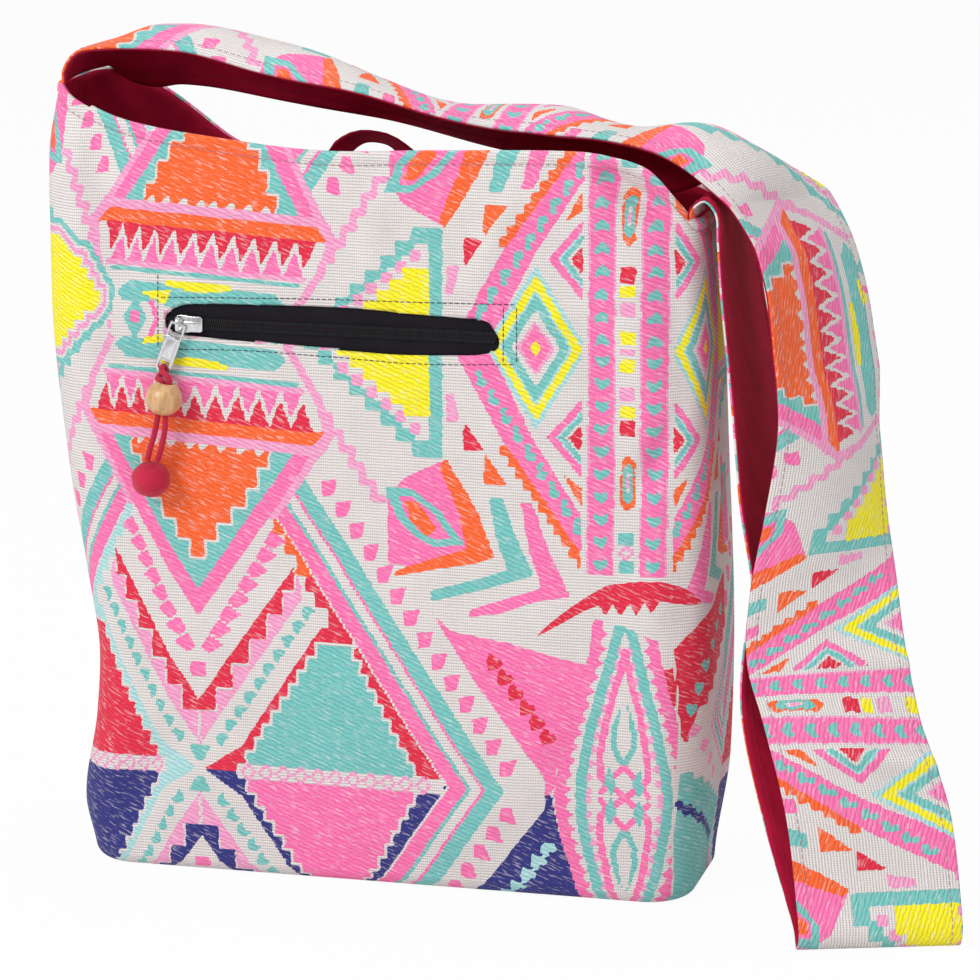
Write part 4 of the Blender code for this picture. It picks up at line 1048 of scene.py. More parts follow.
def smoothLoop(points, steps):
    # A closed smooth curve through all its points.
    pts = np.array(points, float)
    before, after, later = np.roll(pts, 1, 0), np.roll(pts, -1, 0), np.roll(pts, -2, 0)
    t = (np.arange(steps) / steps)[None, :, None]
    p0, p1, p2, p3 = (q[:, None] for q in (before, pts, after, later))
    line = 0.5 * (2 * p1 + (p2 - p0) * t + (2 * p0 - 5 * p1 + 4 * p2 - p3) * t**2 + (3 * p1 - p0 - 3 * p2 + p3) * t**3)
    return line.reshape(-1, 2)


slotEdge = smoothLoop(zipSlot["edge"], 5)


def slotDistance(points):
    # Distance of points of the front face from the opening's edge, below 0 inside it.
    near, inside = distanceTo(points[..., 0], points[..., 2], slotEdge)
    return np.where(points[..., 1] < -30, np.where(inside, -near, near), 50.0)


def pulled(across, along):
    # Places on the flat pattern of points on the cloth as it hangs.
    rise = pattern["rise"] * np.clip(-35 - across, 0, 140) * ease(60, 200, along)
    lean = pattern["lean"] * ease(270, 385, along) * np.clip((10 - across) / 107, 0, 1.2)
    return across - pattern["narrow"] * np.clip(-112 - across, 0, 60) - lean, along - pattern["base"] - rise


def declareSheet(piece, grid, flat):
    # The cloth's own area is measured on its outer face, without the thickness.
    sides = np.cross(grid[1:, 1:] - grid[:-1, :-1], grid[1:, :-1] - grid[:-1, 1:])
    print(piece.name, "outer area", round(float(np.linalg.norm(sides, axis=2).sum()) / 2 * mm * mm, 5), "flat", flat)


def makePanel(side):
    name = "frontCloth" if side < 0 else "backCloth"
    grid, across, along = panelGrid(side)
    coarse = body["coarse"][side]
    mesh = sheetMesh(name, grid, body["thick"], coarse, slotDistance if side < 0 else None)
    cloth = bothFaces(np.stack([across, along, np.zeros_like(along)], -1), coarse)
    keepVectors(mesh, "cloth", cloth)
    keepYarns(mesh, drawCloth(*pulled(cloth[:, 0], cloth[:, 1])))
    if side < 0:
        finishSlot(mesh)
    piece = addPiece(name, mesh, clothFinish)
    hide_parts("front_panel" if side < 0 else "back_panel")
    declareSheet(piece, grid, body["cut"][side])


def finishSlot(mesh):
    # Drops loose points, draws the opening's edge smooth and joins it to the inner face.
    bm = bmesh.new()
    bm.from_mesh(mesh)
    bmesh.ops.delete(bm, geom=[v for v in bm.verts if not v.link_faces], context="VERTS")
    border = [e for e in bm.edges if len(e.link_faces) == 1]
    points = {v for e in border for v in e.verts}
    middle = sum(v.co.y for v in points) / len(points)
    for v in points:
        if v.co.y < middle:
            for k in range(3):
                at = np.array(v.co) / mm
                here = float(slotDistance(at))
                slope = np.array([float(slotDistance(at + np.array(d))) - here for d in ((0.1, 0, 0), (0, 0, 0.1))])
                slope /= max(np.linalg.norm(slope), 1e-9)
                v.co.x -= slope[0] * here * mm
                v.co.z -= slope[1] * here * mm
    bmesh.ops.bridge_loops(bm, edges=border)
    bm.normal_update()
    bm.to_mesh(mesh)
    bm.free()


makePanel(-1)
makePanel(1)
print("outer cloth made")


# Lining: two soft walls just inside the outer cloth.
lining = {
    "thick": 0.5, "drop": 1.4, "rows": 140, "cols": 221, "coarse": {-1: 1, 1: 4}, "baseSteps": 5, "edge": 1.0,
    "facing": 2.56, "cut": {-1: (0.39, 0.425, 0.158), 1: (0.39, 0.425, 0.146)},
    # The front wall leaves room for the pouch: how much, and where that begins at the left, right, base and top.
    "room": 4.8, "roomLeft": (0.14, 0.26), "roomRight": (0.14, 0.3), "roomLow": (60, 105), "roomTop": 348,
    "roomFade": 35,
}


def makeLining(side):
    name = "frontLining" if side < 0 else "backLining"
    cols, coarse = lining["cols"], lining["coarse"][side]
    place = evenPlaces(cols)
    top = mouthHeight(side, place) - body["hemDepth"] - lining["drop"]
    inset = body["thick"] + body["gap"]
    base = body["baseRound"]
    rows = []

    def addRow(z, inset, shift=0.0):
        x, y = wallPoint(side, place, z, inset)[:2]
        rows.append(np.stack([x, y + shift, z], -1))

    ringX, ringY = wallPoint(side, place, np.zeros(cols), base)[:2]
    seamX = ringX[0] + (ringX[-1] - ringX[0]) * place
    seamY = body["seam"] + side * body["gap"] / 2
    baseSteps = np.linspace(0, 1, lining["baseSteps"])[:-1]
    for t in baseSteps:
        rows.append(np.stack([seamX + (ringX - seamX) * t, seamY + (ringY - seamY) * t, np.full(cols, inset)], -1))
    for t in baseSteps:
        a = t * math.pi / 2
        span = base - inset
        addRow(np.full(cols, inset + span * (1 - math.cos(a))), inset + span * (1 - math.sin(a)))
    for t in np.linspace(0, 1, lining["rows"]):
        z = base + (top - base) * t
        shift = 0.0
        if side < 0:
            shift = lining["room"] * ease(*lining["roomLeft"], place) * ease(*lining["roomRight"], 1 - place)
            shift = shift * ease(*lining["roomLow"], z) * ease(0, lining["roomFade"], lining["roomTop"] - z)
        addRow(z, inset, shift)
    # Over the hem the lining steps inwards and is sewn close under the fold.
    rise = mouthHeight(side, place) - lining["edge"] - top
    for t in np.linspace(0, 1, 9)[1:]:
        addRow(top + rise * (0.12 + 0.88 * t), lining["facing"])
    while (len(rows) - 1) % coarse:
        rows.insert(-1, (rows[-2] + rows[-1]) / 2)
    grid = np.array(rows)
    if side > 0:
        grid = grid[:, ::-1]
    mesh = sheetMesh(name, grid, lining["thick"], coarse)
    keepGrid(mesh, gridLengths(grid), coarse)
    piece = addPiece(name, mesh, liningFinish)
    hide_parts("front_lining" if side < 0 else "back_lining")
    declareSheet(piece, grid, lining["cut"][side])


makeLining(-1)
makeLining(1)
print("lining made")


# Strap: from the top of the left side over the mouth, down to the ground and back up to the right side.
strap = {
    "width": 78.0, "length": 1120, "cell": 1.35, "across": 60, "coarse": 2, "cloth": 1.0, "lining": 0.6, "gap": 0.3,
    "liningEvery": 2, "slack": 2.0, "edgeAt": 188.0, "steps": 16,
    # Where the cloth's pattern folds lie along the strap, as (place along, place on the flat pattern).
    "pattern": [(0, -530), (433, -97), (608, 118), (1200, 710)],
    # Creases: place along, from and to across (0 is the front edge), half width, depth.
    "creases": [(40, 10, 78, 8, 1.4), (250, 0, 50, 12, 1.2), (330, 20, 78, 9, -1.6), (392, 0, 46, 7, 1.5),
                (470, 30, 78, 10, -1.2), (560, 0, 40, 11, 1.2), (586, 34, 78, 4, 2.2), (634, 26, 78, 4, 2.4),
                (612, 30, 78, 9, -1.4), (690, 0, 60, 12, -1.2), (840, 10, 70, 12, 1.5), (920, 0, 60, 10, -1.5)],
    "cut": (0.078, 1.106),
    # Front and rear edge of the strap, place by place, from the left side to the right one.
    "edges": [
        ((-165, -38, 391.9), (-165, 38, 391.9)),
        ((-164.6, -38, 398), (-164.3, 38, 391.8)),
        ((-159, -36, 407.5), (-158.5, 36, 388)),
        ((-145, -31.5, 412), (-145, 33, 386)),
        ((-109, -22.5, 413.5), (-115, 23, 391)),
        ((-68, -21.5, 404.5), (-71, 22, 385.5)),
        ((-22, -31.5, 396.5), (-22, 32, 374.5)),
        ((22, -33, 385), (28, 33, 362.5)),
        ((66, -26, 379.5), (76, 25, 358)),
        ((105, -25, 376.5), (121, 22, 345)),
        ((136, -27, 368.5), (160, 26, 359)),
        ((156, -33, 353), (188, 31, 352)),
        ((170, -39, 334), (209, 34, 327)),
        ((181, -42, 309), (219, 31, 300)),
        ((187, -45, 276), (225, 25, 270)),
        ((193, -48, 241), (231, 14, 233)),
        ((188, -54, 199), (237, -1, 196)),
        ((181, -60, 162), (244, -17, 164)),
        ((181, -65, 130), (252, -36, 134)),
        ((190, -72, 106), (262, -50, 104)),
        ((204, -84, 62), (278, -60, 64)),
        ((211, -93, 24), (285.2, -69, 26)),
        ((213.6, -99.2, 8), (287.4, -73.9, 8)),
        ((211.6, -94.2, 1.6), (285.4, -68.9, 1.6)),
        ((209.6, -89.2, 8), (283.4, -63.9, 8)),
        ((203, -82, 24), (276, -54, 24)),
        ((192, -73, 53), (259, -32, 53)),
        ((179, -60, 94), (238, -8, 94)),
        ((176, -54, 121), (225, 5, 121)),
        ((178, -47, 166), (205, 24, 166)),
        ((173, -44, 203), (190, 32, 203)),
        ((168, -42, 250), (176, 36.5, 250)),
        ((162, -40, 302), (165, 38, 302)),
        ((160, -39.5, 327.5), (161, 38.5, 327.5)),
        ((158.6, -39, 341), (158.6, 39, 341)),
        ((152.5, -39, 347), (152.5, 39, 347)),
        ((146, -38.8, 342), (146, 38.8, 342)),
        ((145.5, -38.8, 337.4), (145.5, 38.8, 337.4)),
    ],
}


def curveThrough(points, steps):
    # Points on one smooth curve, with so many steps to each span.
    pts = [np.array(p, float) for p in points]
    ends = [2 * pts[0] - pts[1]] + pts + [2 * pts[-1] - pts[-2]]
    knots = np.cumsum([0.0] + [max(np.linalg.norm(b - a), 1e-6) ** 0.5 for a, b in zip(ends, ends[1:])])
    line = []
    for i in range(1, len(ends) - 2):
        for k in range(steps[i - 1]):
            t = knots[i] + (knots[i + 1] - knots[i]) * k / steps[i - 1]

            def mix(a, b, low, high):
                s = (t - knots[low]) / (knots[high] - knots[low])
                return a + (b - a) * s

            a1 = mix(ends[i - 1], ends[i], i - 1, i)
            a2 = mix(ends[i], ends[i + 1], i, i + 1)
            a3 = mix(ends[i + 1], ends[i + 2], i + 1, i + 2)
            line.append(mix(mix(a1, a2, i - 1, i + 1), mix(a2, a3, i, i + 2), i, i + 1))
    line.append(pts[-1])
    return np.array(line)


def resample(line, other, count):
    # Two matching lines read again at even lengths of their middle.
    middle = (line + other) / 2
    lengths = np.concatenate([[0], np.cumsum(np.linalg.norm(np.diff(middle, axis=0), axis=1))])
    at = np.linspace(0, lengths[-1], count)

    def read(source):
        return np.stack([np.interp(at, lengths, source[:, k]) for k in range(3)], -1)

    return read(line), read(other), at


def strapGrid(count, across):
    edges = strap["edges"]
    steps = [strap["steps"]] * (len(edges) - 1)
    front, back, at = resample(curveThrough([e[0] for e in edges], steps),
                               curveThrough([e[1] for e in edges], steps), count)
    middle = (front + back) / 2
    chord = back - front
    span = np.minimum(np.linalg.norm(chord, axis=1), strap["width"])[:, None]
    chord = chord / np.linalg.norm(chord, axis=1, keepdims=True)
    along = np.gradient(middle, axis=0)
    along /= np.linalg.norm(along, axis=1, keepdims=True)
    out = np.cross(along, chord)
    out /= np.linalg.norm(out, axis=1, keepdims=True)
    # Where the edges are drawn together, the spare width stands up as a crown.
    spare = strap["width"] - span
    crown = np.sqrt(3 * span * spare / 8) * spare / (spare + strap["slack"])
    u = np.linspace(-1, 1, across)[None, :, None]
    grid = middle[:, None] + chord[:, None] * span[:, None] * u / 2
    grid = grid + out[:, None] * crown[:, None] * (2 / 3 - u * u)
    flat = (u[:, :, 0] + 1) * strap["width"] / 2
    wave = 0.0
    for place, low, high, wide, deep in strap["creases"]:
        reach = ease(low - 8, low + 8, flat) * ease(-high - 8, -high + 8, -flat)
        skew = (flat - strap["width"] / 2) * 0.12
        wave = wave - deep * reach * np.exp(-((at[:, None] - place - skew) / wide) ** 2)
    return grid - out[:, None] * wave[:, :, None], at


def makeStrap():
    coarse = strap["coarse"]
    count = coarse * round(strap["length"] / strap["cell"] / coarse) + 1
    grid, at = strapGrid(count, strap["across"] + 1)
    normal = gridNormals(grid)
    outer = grid - normal * (strap["gap"] / 2 + strap["cloth"])
    mesh = sheetMesh("strapCloth", outer[:, ::-1], strap["cloth"], coarse)
    u = np.linspace(0, strap["width"], strap["across"] + 1)
    cloth = bothFaces(np.stack(np.broadcast_arrays(at[:, None], u[None], 0.0), -1)[:, ::-1], coarse)
    keepVectors(mesh, "cloth", cloth)
    places, marks = zip(*strap["pattern"])
    keepYarns(mesh, drawCloth(np.interp(cloth[:, 0], places, marks), strap["edgeAt"] + cloth[:, 1]))
    piece = addPiece("strapCloth", mesh, clothFinish)
    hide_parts("strap_cloth")
    declareSheet(piece, outer, strap["cut"])
    every = strap["liningEvery"]
    inner = (grid + normal * (strap["gap"] / 2 + strap["lining"]))[::every, ::every]
    mesh = sheetMesh("strapLining", inner, strap["lining"], 1)
    keepGrid(mesh, gridLengths(inner), 1)
    piece = addPiece("strapLining", mesh, liningFinish)
    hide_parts("strap_lining")
    declareSheet(piece, inner, strap["cut"])


makeStrap()
print("strap made")


# Zip: two ribbed tapes and two rows of coil turns.
zipParts = {
    "left": -116.45, "right": 61.05, "front": -45.7, "tape": 0.6, "tapeWide": 14.0, "parting": 0.7,
    "cells": (48, 6), "coarse": 4, "cut": (0.1775, 0.014),
    "coilBack": -46.0, "coilWide": 2.3, "coilThick": 1.6, "coilInset": 6.0, "pitch": 1.15, "wire": 0.5,
    "mesh": 0.35,
}


def makeZip():
    parts = zipParts
    coarse = parts["coarse"]
    cellsAlong, cellsAcross = parts["cells"]
    for way, word in ((1, "Upper"), (-1, "Lower")):
        x = np.linspace(parts["left"], parts["right"], cellsAlong * coarse + 1)
        out = np.linspace(0, parts["tapeWide"], cellsAcross * coarse + 1)[::way]
        ridge = 0.1 * np.cos(x[None] * math.pi / 1.1) * np.cos(out[:, None] * 2.1) * ease(2.5, 4, out)[:, None]
        z = zipSlot["z"] + way * (parts["parting"] + out)
        grid = np.stack(np.broadcast_arrays(x[None], parts["front"] + 0.05 + ridge, z[:, None]), -1)
        mesh = sheetMesh("zipTape" + word, grid, parts["tape"], coarse)
        keepGrid(mesh, gridLengths(grid), coarse)
        piece = addPiece("zipTape" + word, mesh, tapeFinish)
        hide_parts("zip_tape_" + word.lower())
        shape = newShape()
        turns = int((parts["right"] - parts["left"] - 2 * parts["coilInset"]) / parts["pitch"])
        t = np.linspace(0, turns * 2 * math.pi, turns * 12 + 1)
        # The two rows are half a turn apart, so that they mesh.
        x = parts["left"] + parts["coilInset"] + parts["pitch"] * (t / (2 * math.pi) + way * 0.25)
        y = parts["coilBack"] - parts["coilThick"] / 2 - (parts["coilThick"] - parts["wire"]) / 2 * np.cos(t)
        outer = parts["parting"] + parts["coilWide"]
        middle = zipSlot["z"] + way * (outer - parts["mesh"]) / 2
        z = middle + way * (outer + parts["mesh"] - parts["wire"]) / 2 * np.sin(t)
        tube(shape, np.stack([x, y, z], -1), parts["wire"], sides=6)
        piece = addPiece("zipCoil" + word, makeMesh("zipCoil" + word, shape), coilFinish)
        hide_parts("zip_coil_" + word.lower())


makeZip()
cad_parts["pocket_bag"].material_slots[0].material = liningFinish
print("zip made")


# Slider, with a waisted front plate, side flanges and the arch that holds the tab.
slider = {
    "left": -106.0, "face": -49.2, "thick": 1.3, "rear": -44.8, "bailAt": 2.5, "bailHalf": 3.4,
    "bailFar": -53.7, "wire": 1.4,
    "outline": [(0, 2.4), (0.5, 3.5), (1.4, 4.2), (2.8, 4.5), (5.5, 4.4), (8, 4.0), (10.5, 3.9), (12.6, 3.9),
                (13.5, 3.6), (14, 2.9)],
}
pivot = np.array([slider["left"] + slider["bailAt"], slider["face"] - 2.0, zipSlot["z"]])


def finishMetal(name, shape, node, bodyName):
    mesh = makeMesh(name, shape)
    piece = addPiece(name, mesh, steelFinish, bodyName)
    mesh.set_sharp_from_angle(angle=math.radians(50))
    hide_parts(node)
    return piece


def makeSlider():
    shape = newShape()
    left, middle = slider["left"], zipSlot["z"]
    face, thick, rear = slider["face"], slider["thick"], slider["rear"]
    half = [(left + x, middle + z) for x, z in slider["outline"]]
    outline = half + [(x, 2 * middle - z) for x, z in half[::-1]]
    plate(shape, outline, face, face + thick, 0.45)
    # The rear plate is the same outline drawn in.
    small = [(left + 7 + (x - left - 7) * 0.9, middle + (z - middle) * 0.74) for x, z in outline]
    plate(shape, small, rear, rear + 1.0, 0.3)
    for way in (-1, 1):
        line = [(x, face + thick + 0.4, middle + way * (abs(z - middle) - 0.45)) for x, z in half[2:9]]
        tube(shape, line, 0.8, 1.9, up=(0, 1, 0), sides=12, square=0.5)
    post = [(left + 10.5, face + 1, middle), (left + 10.5, rear + 0.5, middle)]
    tube(shape, post, 0.8, 2.4, up=(1, 0, 0), sides=12, square=0.5)
    # The arch that holds the tab.
    foot = face + 0.6
    arch = []
    for t in np.linspace(-1, 1, 33):
        a = t * math.pi / 2
        high = abs(math.cos(a)) ** 0.55
        wide = math.copysign(abs(math.sin(a)) ** 0.7, t)
        arch.append((left + slider["bailAt"], foot - (foot - slider["bailFar"] - slider["wire"] / 2) * high,
                     middle + slider["bailHalf"] * wide))
    tube(shape, arch, slider["wire"], 2.0, up=(1, 0, 0), sides=16, square=0.6)
    # The rib along the middle of the face.
    rib = [(left + x, face - 0.1 - 0.25 * math.sin(k * math.pi / 6), middle)
           for k, x in enumerate(np.linspace(4.4, 12.4, 7))]
    tube(shape, rib, 2.6, 1.0, up=(0, 1, 0), sides=12, square=0.6)
    finishMetal("slider", shape, "slider_body", "slider")


makeSlider()


# Tab: two rails beside a sunk middle, a ring for the cord, and two arms to its bar.
tab = {
    "lean": 21.0, "half": 4.25, "rail": 1.9, "thick": 1.6, "bar": 1.3, "eyeAt": 22.0, "eye": 2.2,
    # Places in the tab's own frame, across and up from its bar: the sunk middle, and the right arm.
    "sunk": [(-2.9, -7.4), (2.9, -7.4), (2.9, -18.8), (-2.9, -18.8)],
    "arm": [(3.2, -8.2), (3.6, -6.4), (3.65, -4), (3.65, -2), (3.5, -0.6), (3.2, 0.1)],
}


def fromTab(points):
    # Places in the tab's own frame, hanging below its bar, put where it hangs at rest.
    points = np.asarray(points, float)
    a = math.radians(tab["lean"])
    x, y, z = points[..., 0], points[..., 1], points[..., 2]
    return pivot + np.stack([x * math.cos(a) + z * math.sin(a), y, z * math.cos(a) - x * math.sin(a)], -1)


def makeTab():
    shape = newShape()
    lift = (0, 1, 0)
    inner = tab["half"] - tab["rail"] / 2
    ring = tab["half"] - 1.0
    eyeAt = tab["eyeAt"]
    # One rail runs down a side, round the eye and up the other side.
    line = [(-inner + 0.2, 0, -7.6), (-inner, 0, -9.0)]
    line += [(-inner, 0, z) for z in np.linspace(-10, -eyeAt + 2.5, 8)]
    bottom = [(-ring * math.cos(a), 0, -eyeAt - 0.2 - (ring - 0.6) * math.sin(a))
              for a in np.linspace(0.1, math.pi - 0.1, 17)]
    loop = line + bottom + [(-x, y, z) for x, y, z in line[::-1]]
    loop += [(x, 0, -7.3) for x in (1.8, 0.6, -0.6, -1.8)]
    tube(shape, fromTab(loop), tab["rail"], tab["thick"], up=lift, sides=16, closed=True, square=0.55)
    across = [(x, 0, -eyeAt + tab["eye"] + 0.9) for x in np.linspace(-3.2, 3.2, 7)]
    tube(shape, fromTab(across), 1.6, 1.3, up=lift, sides=12, square=0.6)
    sunk = fromTab([(x, 0, z) for x, z in tab["sunk"]])[:, [0, 2]]
    plate(shape, sunk, pivot[1] - 0.3, pivot[1] + 0.6, 0.15)
    for way in (-1, 1):
        tube(shape, fromTab([(way * x, 0, z) for x, z in tab["arm"]]), 1.2, 1.3, up=lift, sides=12, square=0.7)
    tube(shape, fromTab([(x, 0, 0) for x in np.linspace(-3.9, 3.9, 9)]), tab["bar"], sides=14)
    finishMetal("tab", shape, "pull_tab", "tab")


makeTab()
print("slider and tab made")


# Cord: from the knot up through the bead, round the tab's ring and back down, with a braided surface.
cord = {
    "thick": 2.9, "front": 5.4, "beadAt": (1.7, -15.0), "knotAt": (-5.6, -55.7), "length": 0.1083, "points": 420,
    # The cord's way, in millimetres from the middle of the tab's ring.
    "route": [
        (-2.3, -5.4, -46.6), (-0.6, -5.4, -42.0), (1.6, -5.4, -32.5), (2.6, -5.4, -23.0), (3.3, -5.4, -15.0),
        (4.5, -5.4, -8.0), (4.5, -5.4, -5.9), (3.4, -4.8, -4.2), (1.6, -3.8, -3.0), (0.0, -2.9, -2.0),
        (-0.2, -2.0, -1.0), (-0.2, -0.3, -0.4), (-0.2, 1.7, -1.0), (-0.7, 2.5, -2.6), (-1.8, 2.4, -4.4),
        (-2.7, 1.0, -5.8), (-2.6, -1.2, -6.3), (-1.5, -3.6, -6.3), (0.0, -5.1, -6.2), (1.0, -5.5, -7.2),
        (1.2, -5.4, -8.8), (0.1, -5.4, -15.0), (-1.3, -5.4, -23.0), (-3.3, -5.4, -32.5), (-6.0, -5.4, -41.5),
        (-7.2, -5.4, -46.2),
    ],
}
ringPlace = fromTab((0, 0, -tab["eyeAt"]))
beadPlace = ringPlace + np.array([cord["beadAt"][0], -cord["front"], cord["beadAt"][1]])
knotPlace = ringPlace + np.array([cord["knotAt"][0], -cord["front"], cord["knotAt"][1]])
bead = {"radius": 9.0, "half": 8.2, "bore": 3.3, "around": 72, "steps": 30, "dent": 0.012}


def makeBead():
    steps = bead["steps"]
    rim = math.acos(bead["bore"] / bead["radius"])
    turn = np.linspace(-rim, rim, steps)
    profile = [(bead["radius"] * math.cos(a) ** 0.9, bead["half"] * math.sin(a) / math.sin(rim) * 0.95) for a in turn]
    profile += [(bead["bore"], z) for z in np.linspace(profile[-1][1] - 0.5, profile[0][1] + 0.5, 8)]
    angles = np.arange(bead["around"]) / bead["around"] * 2 * math.pi
    points = np.array([[(r * math.cos(a), r * math.sin(a), z) for a in angles] for r, z in profile])
    # The turned surface is slightly uneven, but not inside the bore.
    dent = 1 - bead["dent"] * np.sin(angles * 3 + 1)[None] * np.sin(points[..., 2] / 3.0)
    outside = np.where(np.arange(len(profile)) < steps, 1, 0)[:, None, None]
    points[..., :2] *= outside * (dent[..., None] - 1) + 1
    faces = ringFaces(len(profile), bead["around"], True)
    lean = Vector(beadPlace - knotPlace).normalized()
    turnTo = np.array(Vector((0, 0, 1)).rotation_difference(lean).to_matrix())
    shape = newShape()
    addShape(shape, points.reshape(-1, 3) @ turnTo.T + beadPlace, faces, points.reshape(-1, 3))
    piece = addPiece("bead", makeMesh("bead", shape), woodFinish, "bead")
    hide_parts("pull_bead")
    return piece


knot = {"radii": (9.6, 9.0, 8.8), "rows": 61, "cols": 96, "strand": 0.62, "low": 0.87, "rise": 0.14,
        "wraps": [(0.3, 0.25, 1), (1, -0.35, 0.35), (-0.45, -0.55, 0.75)]}


def makeKnot():
    # A ball of three crossing wraps of the cord.
    rows, cols = knot["rows"], knot["cols"]
    up = np.linspace(-math.pi / 2, math.pi / 2, rows)[:, None]
    around = np.arange(cols)[None] / cols * 2 * math.pi
    ball = np.stack(np.broadcast_arrays(np.cos(up) * np.cos(around), np.cos(up) * np.sin(around), np.sin(up)), -1)
    wraps = [np.array(Vector(w).normalized()) for w in knot["wraps"]]
    bulge = np.max([1 - (ball @ w / knot["strand"]) ** 2 for w in wraps], axis=0)
    ball = ball * knot["radii"] * (knot["low"] + knot["rise"] * np.sqrt(np.clip(bulge, 0, 1)))[..., None]
    faces = ringFaces(rows, cols)
    shape = newShape()
    addShape(shape, ball.reshape(-1, 3) + knotPlace, faces)
    mesh = makeMesh("knot", shape)
    bm = bmesh.new()
    bm.from_mesh(mesh)
    bmesh.ops.remove_doubles(bm, verts=bm.verts, dist=0.00001)
    bm.to_mesh(mesh)
    bm.free()
    piece = addPiece("knot", mesh, cordFinish, "cord")
    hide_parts("pull_knot")
    return piece


def makeCord():
    route = [ringPlace + np.array(p) for p in cord["route"]]
    line = curveThrough(route, [8] * (len(route) - 1))
    line = resample(line, line, cord["points"])[0]

    def braid(length, angle):
        turn = 1.5 * angle
        return 0.94 + 0.07 * np.maximum(np.abs(np.sin(turn + length * 2.1)), np.abs(np.sin(turn - length * 2.1)))

    shape = newShape()
    tube(shape, line, cord["thick"], sides=18, swell=braid)
    piece = addPiece("cord", makeMesh("cord", shape), cordFinish, "cord")
    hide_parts("pull_cord")
    print("cord length", np.linalg.norm(np.diff(line, axis=0), axis=1).sum())
    makeBead()
    makeKnot()


makeCord()
print("cord, bead and knot made")


# Loop on the back hem: a folded strip of lining cloth, stitched along both edges.
hemLoop = {"x": -28.0, "half": 20.0, "rise": 21.0, "sewn": 10.0, "lean": 5.0, "turn": 55.0, "width": 11.0,
           "thick": 1.2, "cut": (0.011, 0.094)}


def makeHemLoop():
    size = hemLoop
    top = float(mouthLine[1](np.array([size["x"]]))[0])
    depth = float(wallDepth[1](np.array([top]))[0]) - 2 * body["hemFold"] - 2 * body["gap"] - size["thick"] / 2
    half, rise, turn = size["half"], size["rise"], size["turn"]
    route = [(-half, 0, top - size["sewn"]), (-half, 0, top - size["sewn"] / 2), (-half, 0, top + 1),
             (-half * 0.8, 40, top + rise * 0.7), (-half * 0.25, turn, top + rise),
             (half * 0.35, turn, top + rise * 0.95), (half * 0.85, 40, top + rise * 0.6),
             (half, 0, top + 1), (half, 0, top - size["sewn"] / 2), (half, 0, top - size["sewn"])]
    line = curveThrough(route, [12] * (len(route) - 1))
    way = np.gradient(line, axis=0) * (1, 0, 1)
    way /= np.linalg.norm(way, axis=1, keepdims=True)
    angle = np.radians(np.clip(line[:, 1], 0, None))[:, None]
    across = np.stack([way[:, 2], np.zeros(len(way)), -way[:, 0]], -1) * np.cos(angle)
    across = across + np.array([0, 1, 0]) * np.sin(angle)
    centre = np.stack([size["x"] + line[:, 0], depth - size["lean"] * ease(0, turn, line[:, 1]), line[:, 2]], -1)
    u = np.linspace(-0.5, 0.5, 13)
    grid = centre[:, None] + across[:, None] * (u * size["width"])[None, :, None]
    normal = gridNormals(grid)
    seam = 0.22 * np.exp(-((np.abs(u) - 0.5) / 0.08) ** 2) + 0.1 * np.cos(u * 9)
    grid = grid + normal * (size["thick"] / 2 + seam[None, :, None])
    mesh = sheetMesh("hemLoop", grid, size["thick"] + 0.3, 4)
    keepGrid(mesh, gridLengths(grid), 4)
    piece = addPiece("hemLoop", mesh, liningFinish)
    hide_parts("hem_loop")


makeHemLoop()
print("hem loop made")


# Stitching: thread along the hems, round the zip and along both edges of the strap.
stitching = {
    # Pitch, length and thickness of the stitches.
    "hem": (3.3, 2.5, 0.42), "zip": (3.0, 2.5, 0.45), "strap": (3.4, 2.6, 0.42), "strapGrid": (561, 33),
    "strapColumns": (2, 30),
    # Lines round the zip, as points across and up, with the steps from each point to the next.
    "zipLines": [
        ([(-114.9, 290.3), (-70, 291.8), (-28.2, 293.0), (20, 293.6), (64, 294.6)], 30),
        ([(-115.4, 264.6), (-70, 266.0), (-28.4, 264.9), (16, 263.6), (64, 265.6)], 30),
        ([(-114.8, 303.0), (-115.4, 264.6)], 20),
        ([(57.6, 294.4), (57.4, 265.6)], 20),
        ([(64.0, 294.6), (64.0, 265.6)], 20),
    ],
}


def wallLine(side, places, heights, lift=0.0):
    # A level line on a wall, lifted off it, and the way out of the cloth at each of its points.
    x, y = wallPoint(side, places, heights)[:2]
    line = np.stack([x, y, heights], -1)
    way = np.gradient(line, axis=0)
    outward = -side * np.cross(way, (0, 0, 1))
    outward /= np.maximum(np.linalg.norm(outward, axis=1, keepdims=True), 1e-9)
    return line + outward * lift, outward


def frontAt(x, z):
    # A point of the front face by its place across and up.
    x, z = np.asarray(x, float), np.asarray(z, float)
    left, right, r = leftWidth(z), rightWidth(z), body["corner"]
    place = body["faceFrom"] + (1 - 2 * body["faceFrom"]) * (x + left - r) / (left + right - 2 * r)
    y = wallPoint(-1, place, z)[1]
    return np.stack([x, y, z], -1)


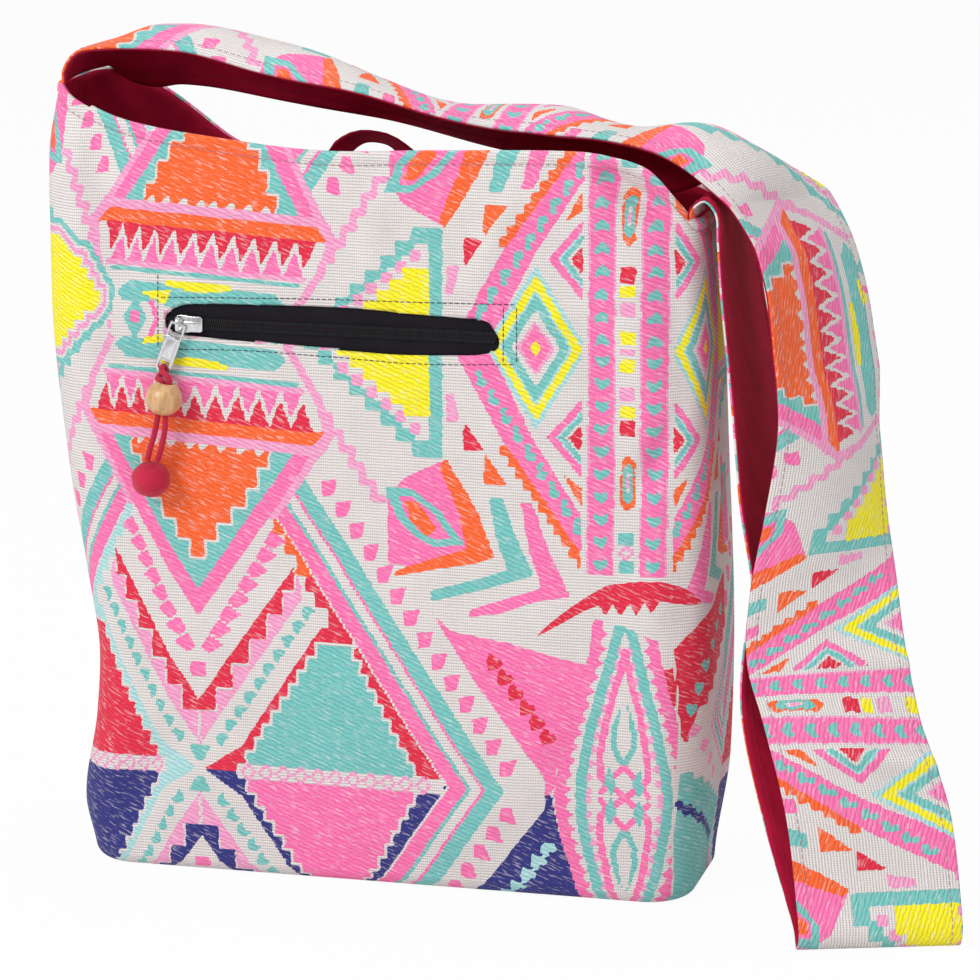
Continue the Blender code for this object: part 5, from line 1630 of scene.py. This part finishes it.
def makeStitching():
    shape = newShape()
    for side in (-1, 1):
        place = np.linspace(0.02, 0.98, 400)
        line, outward = wallLine(side, place, mouthHeight(side, place) - body["stitchAt"], -0.4)
        stitches(shape, line, outward, *stitching["hem"])
    piece = addPiece("hemStitching", makeMesh("hemStitching", shape), paleThread)
    shape = newShape()
    for points, steps in stitching["zipLines"]:
        x, z = curveThrough(points, [steps] * (len(points) - 1)).T
        line = frontAt(x, z)
        stitches(shape, line, np.broadcast_to((0.0, -1.0, 0.0), line.shape), *stitching["zip"])
    piece = addPiece("zipStitching", makeMesh("zipStitching", shape), darkThread)
    grid = strapGrid(*stitching["strapGrid"])[0]
    normal = gridNormals(grid)
    for name, way, layer, finish, slotName in (("strapStitching", -1, "cloth", paleThread, "woven_cloth"),
                                               ("strapLiningStitching", 1, "lining", redThread, "lining_cloth")):
        off = strap["gap"] / 2 + strap[layer]
        shape = newShape()
        for col in stitching["strapColumns"]:
            stitches(shape, (grid + way * normal * off)[:, col], way * normal[:, col], *stitching["strap"])
        piece = addPiece(name, makeMesh(name, shape), finish)


makeStitching()
print("stitching made")


# Room: a plain pale floor and soft lights.
room = {
    "floor": 14.0, "floorColour": (0.86, 0.86, 0.86, 1), "floorWhite": 0.95, "world": 0.42, "aim": (0.03, 0, 0.2),
    # Place in metres, size and power of each light.
    "lights": {"keyLight": ((-1.6, -2.4, 2.2), 1.6, 66.0), "fillLight": ((2.2, -2.0, 1.2), 2.0, 11.0),
               "topLight": ((0.2, 0.4, 2.6), 2.0, 24.0)},
}


def makeFloor():
    # A plain floor that the camera and the metal see nearly white, with the object's shadow kept.
    mesh = bpy.data.meshes.new("floor")
    half = room["floor"] / 2
    mesh.from_pydata([(-half, -half, 0), (half, -half, 0), (half, half, 0), (-half, half, 0)], [], [(0, 1, 2, 3)])
    floor = bpy.data.objects.new("floor", mesh)
    bpy.context.scene.collection.objects.link(floor)
    material, tree, shader = newFinish("paleFloor", {"Base Color": room["floorColour"], "Roughness": 0.9})
    glow = tree.nodes.new("ShaderNodeEmission")
    glow.inputs["Color"].default_value = (1, 1, 1, 1)
    path = tree.nodes.new("ShaderNodeLightPath")
    seen = mathNode(tree, "MAXIMUM", path.outputs["Is Camera Ray"], path.outputs["Is Glossy Ray"])
    mix = tree.nodes.new("ShaderNodeMixShader")
    tree.links.new(mathNode(tree, "MULTIPLY", seen, room["floorWhite"]), mix.inputs[0])
    tree.links.new(shader.outputs[0], mix.inputs[1])
    tree.links.new(glow.outputs[0], mix.inputs[2])
    tree.links.new(mix.outputs[0], tree.nodes["Material Output"].inputs["Surface"])
    mesh.materials.append(material)


def makeLights():
    for name, (place, size, power) in room["lights"].items():
        data = bpy.data.lights.new(name, "AREA")
        data.size = size
        data.energy = power
        light = bpy.data.objects.new(name, data)
        bpy.context.scene.collection.objects.link(light)
        aim = Vector(room["aim"]) - Vector(place)
        light.matrix_world = Matrix.Translation(place) @ aim.to_track_quat("-Z", "Y").to_matrix().to_4x4()


def makeWorld():
    # White to the camera, and softer as light.
    world = bpy.data.worlds.new("room")
    bpy.context.scene.world = world
    world.use_nodes = True
    tree = world.node_tree
    background = tree.nodes["Background"]
    background.inputs["Color"].default_value = (1, 1, 1, 1)
    path = tree.nodes.new("ShaderNodeLightPath")
    strength = mathNode(tree, "MULTIPLY_ADD", path.outputs["Is Camera Ray"], 1 - room["world"], room["world"])
    tree.links.new(strength, background.inputs["Strength"])


makeFloor()
makeLights()
makeWorld()
print("room made")
bpy.context.scene.view_settings.view_transform = "Standard"
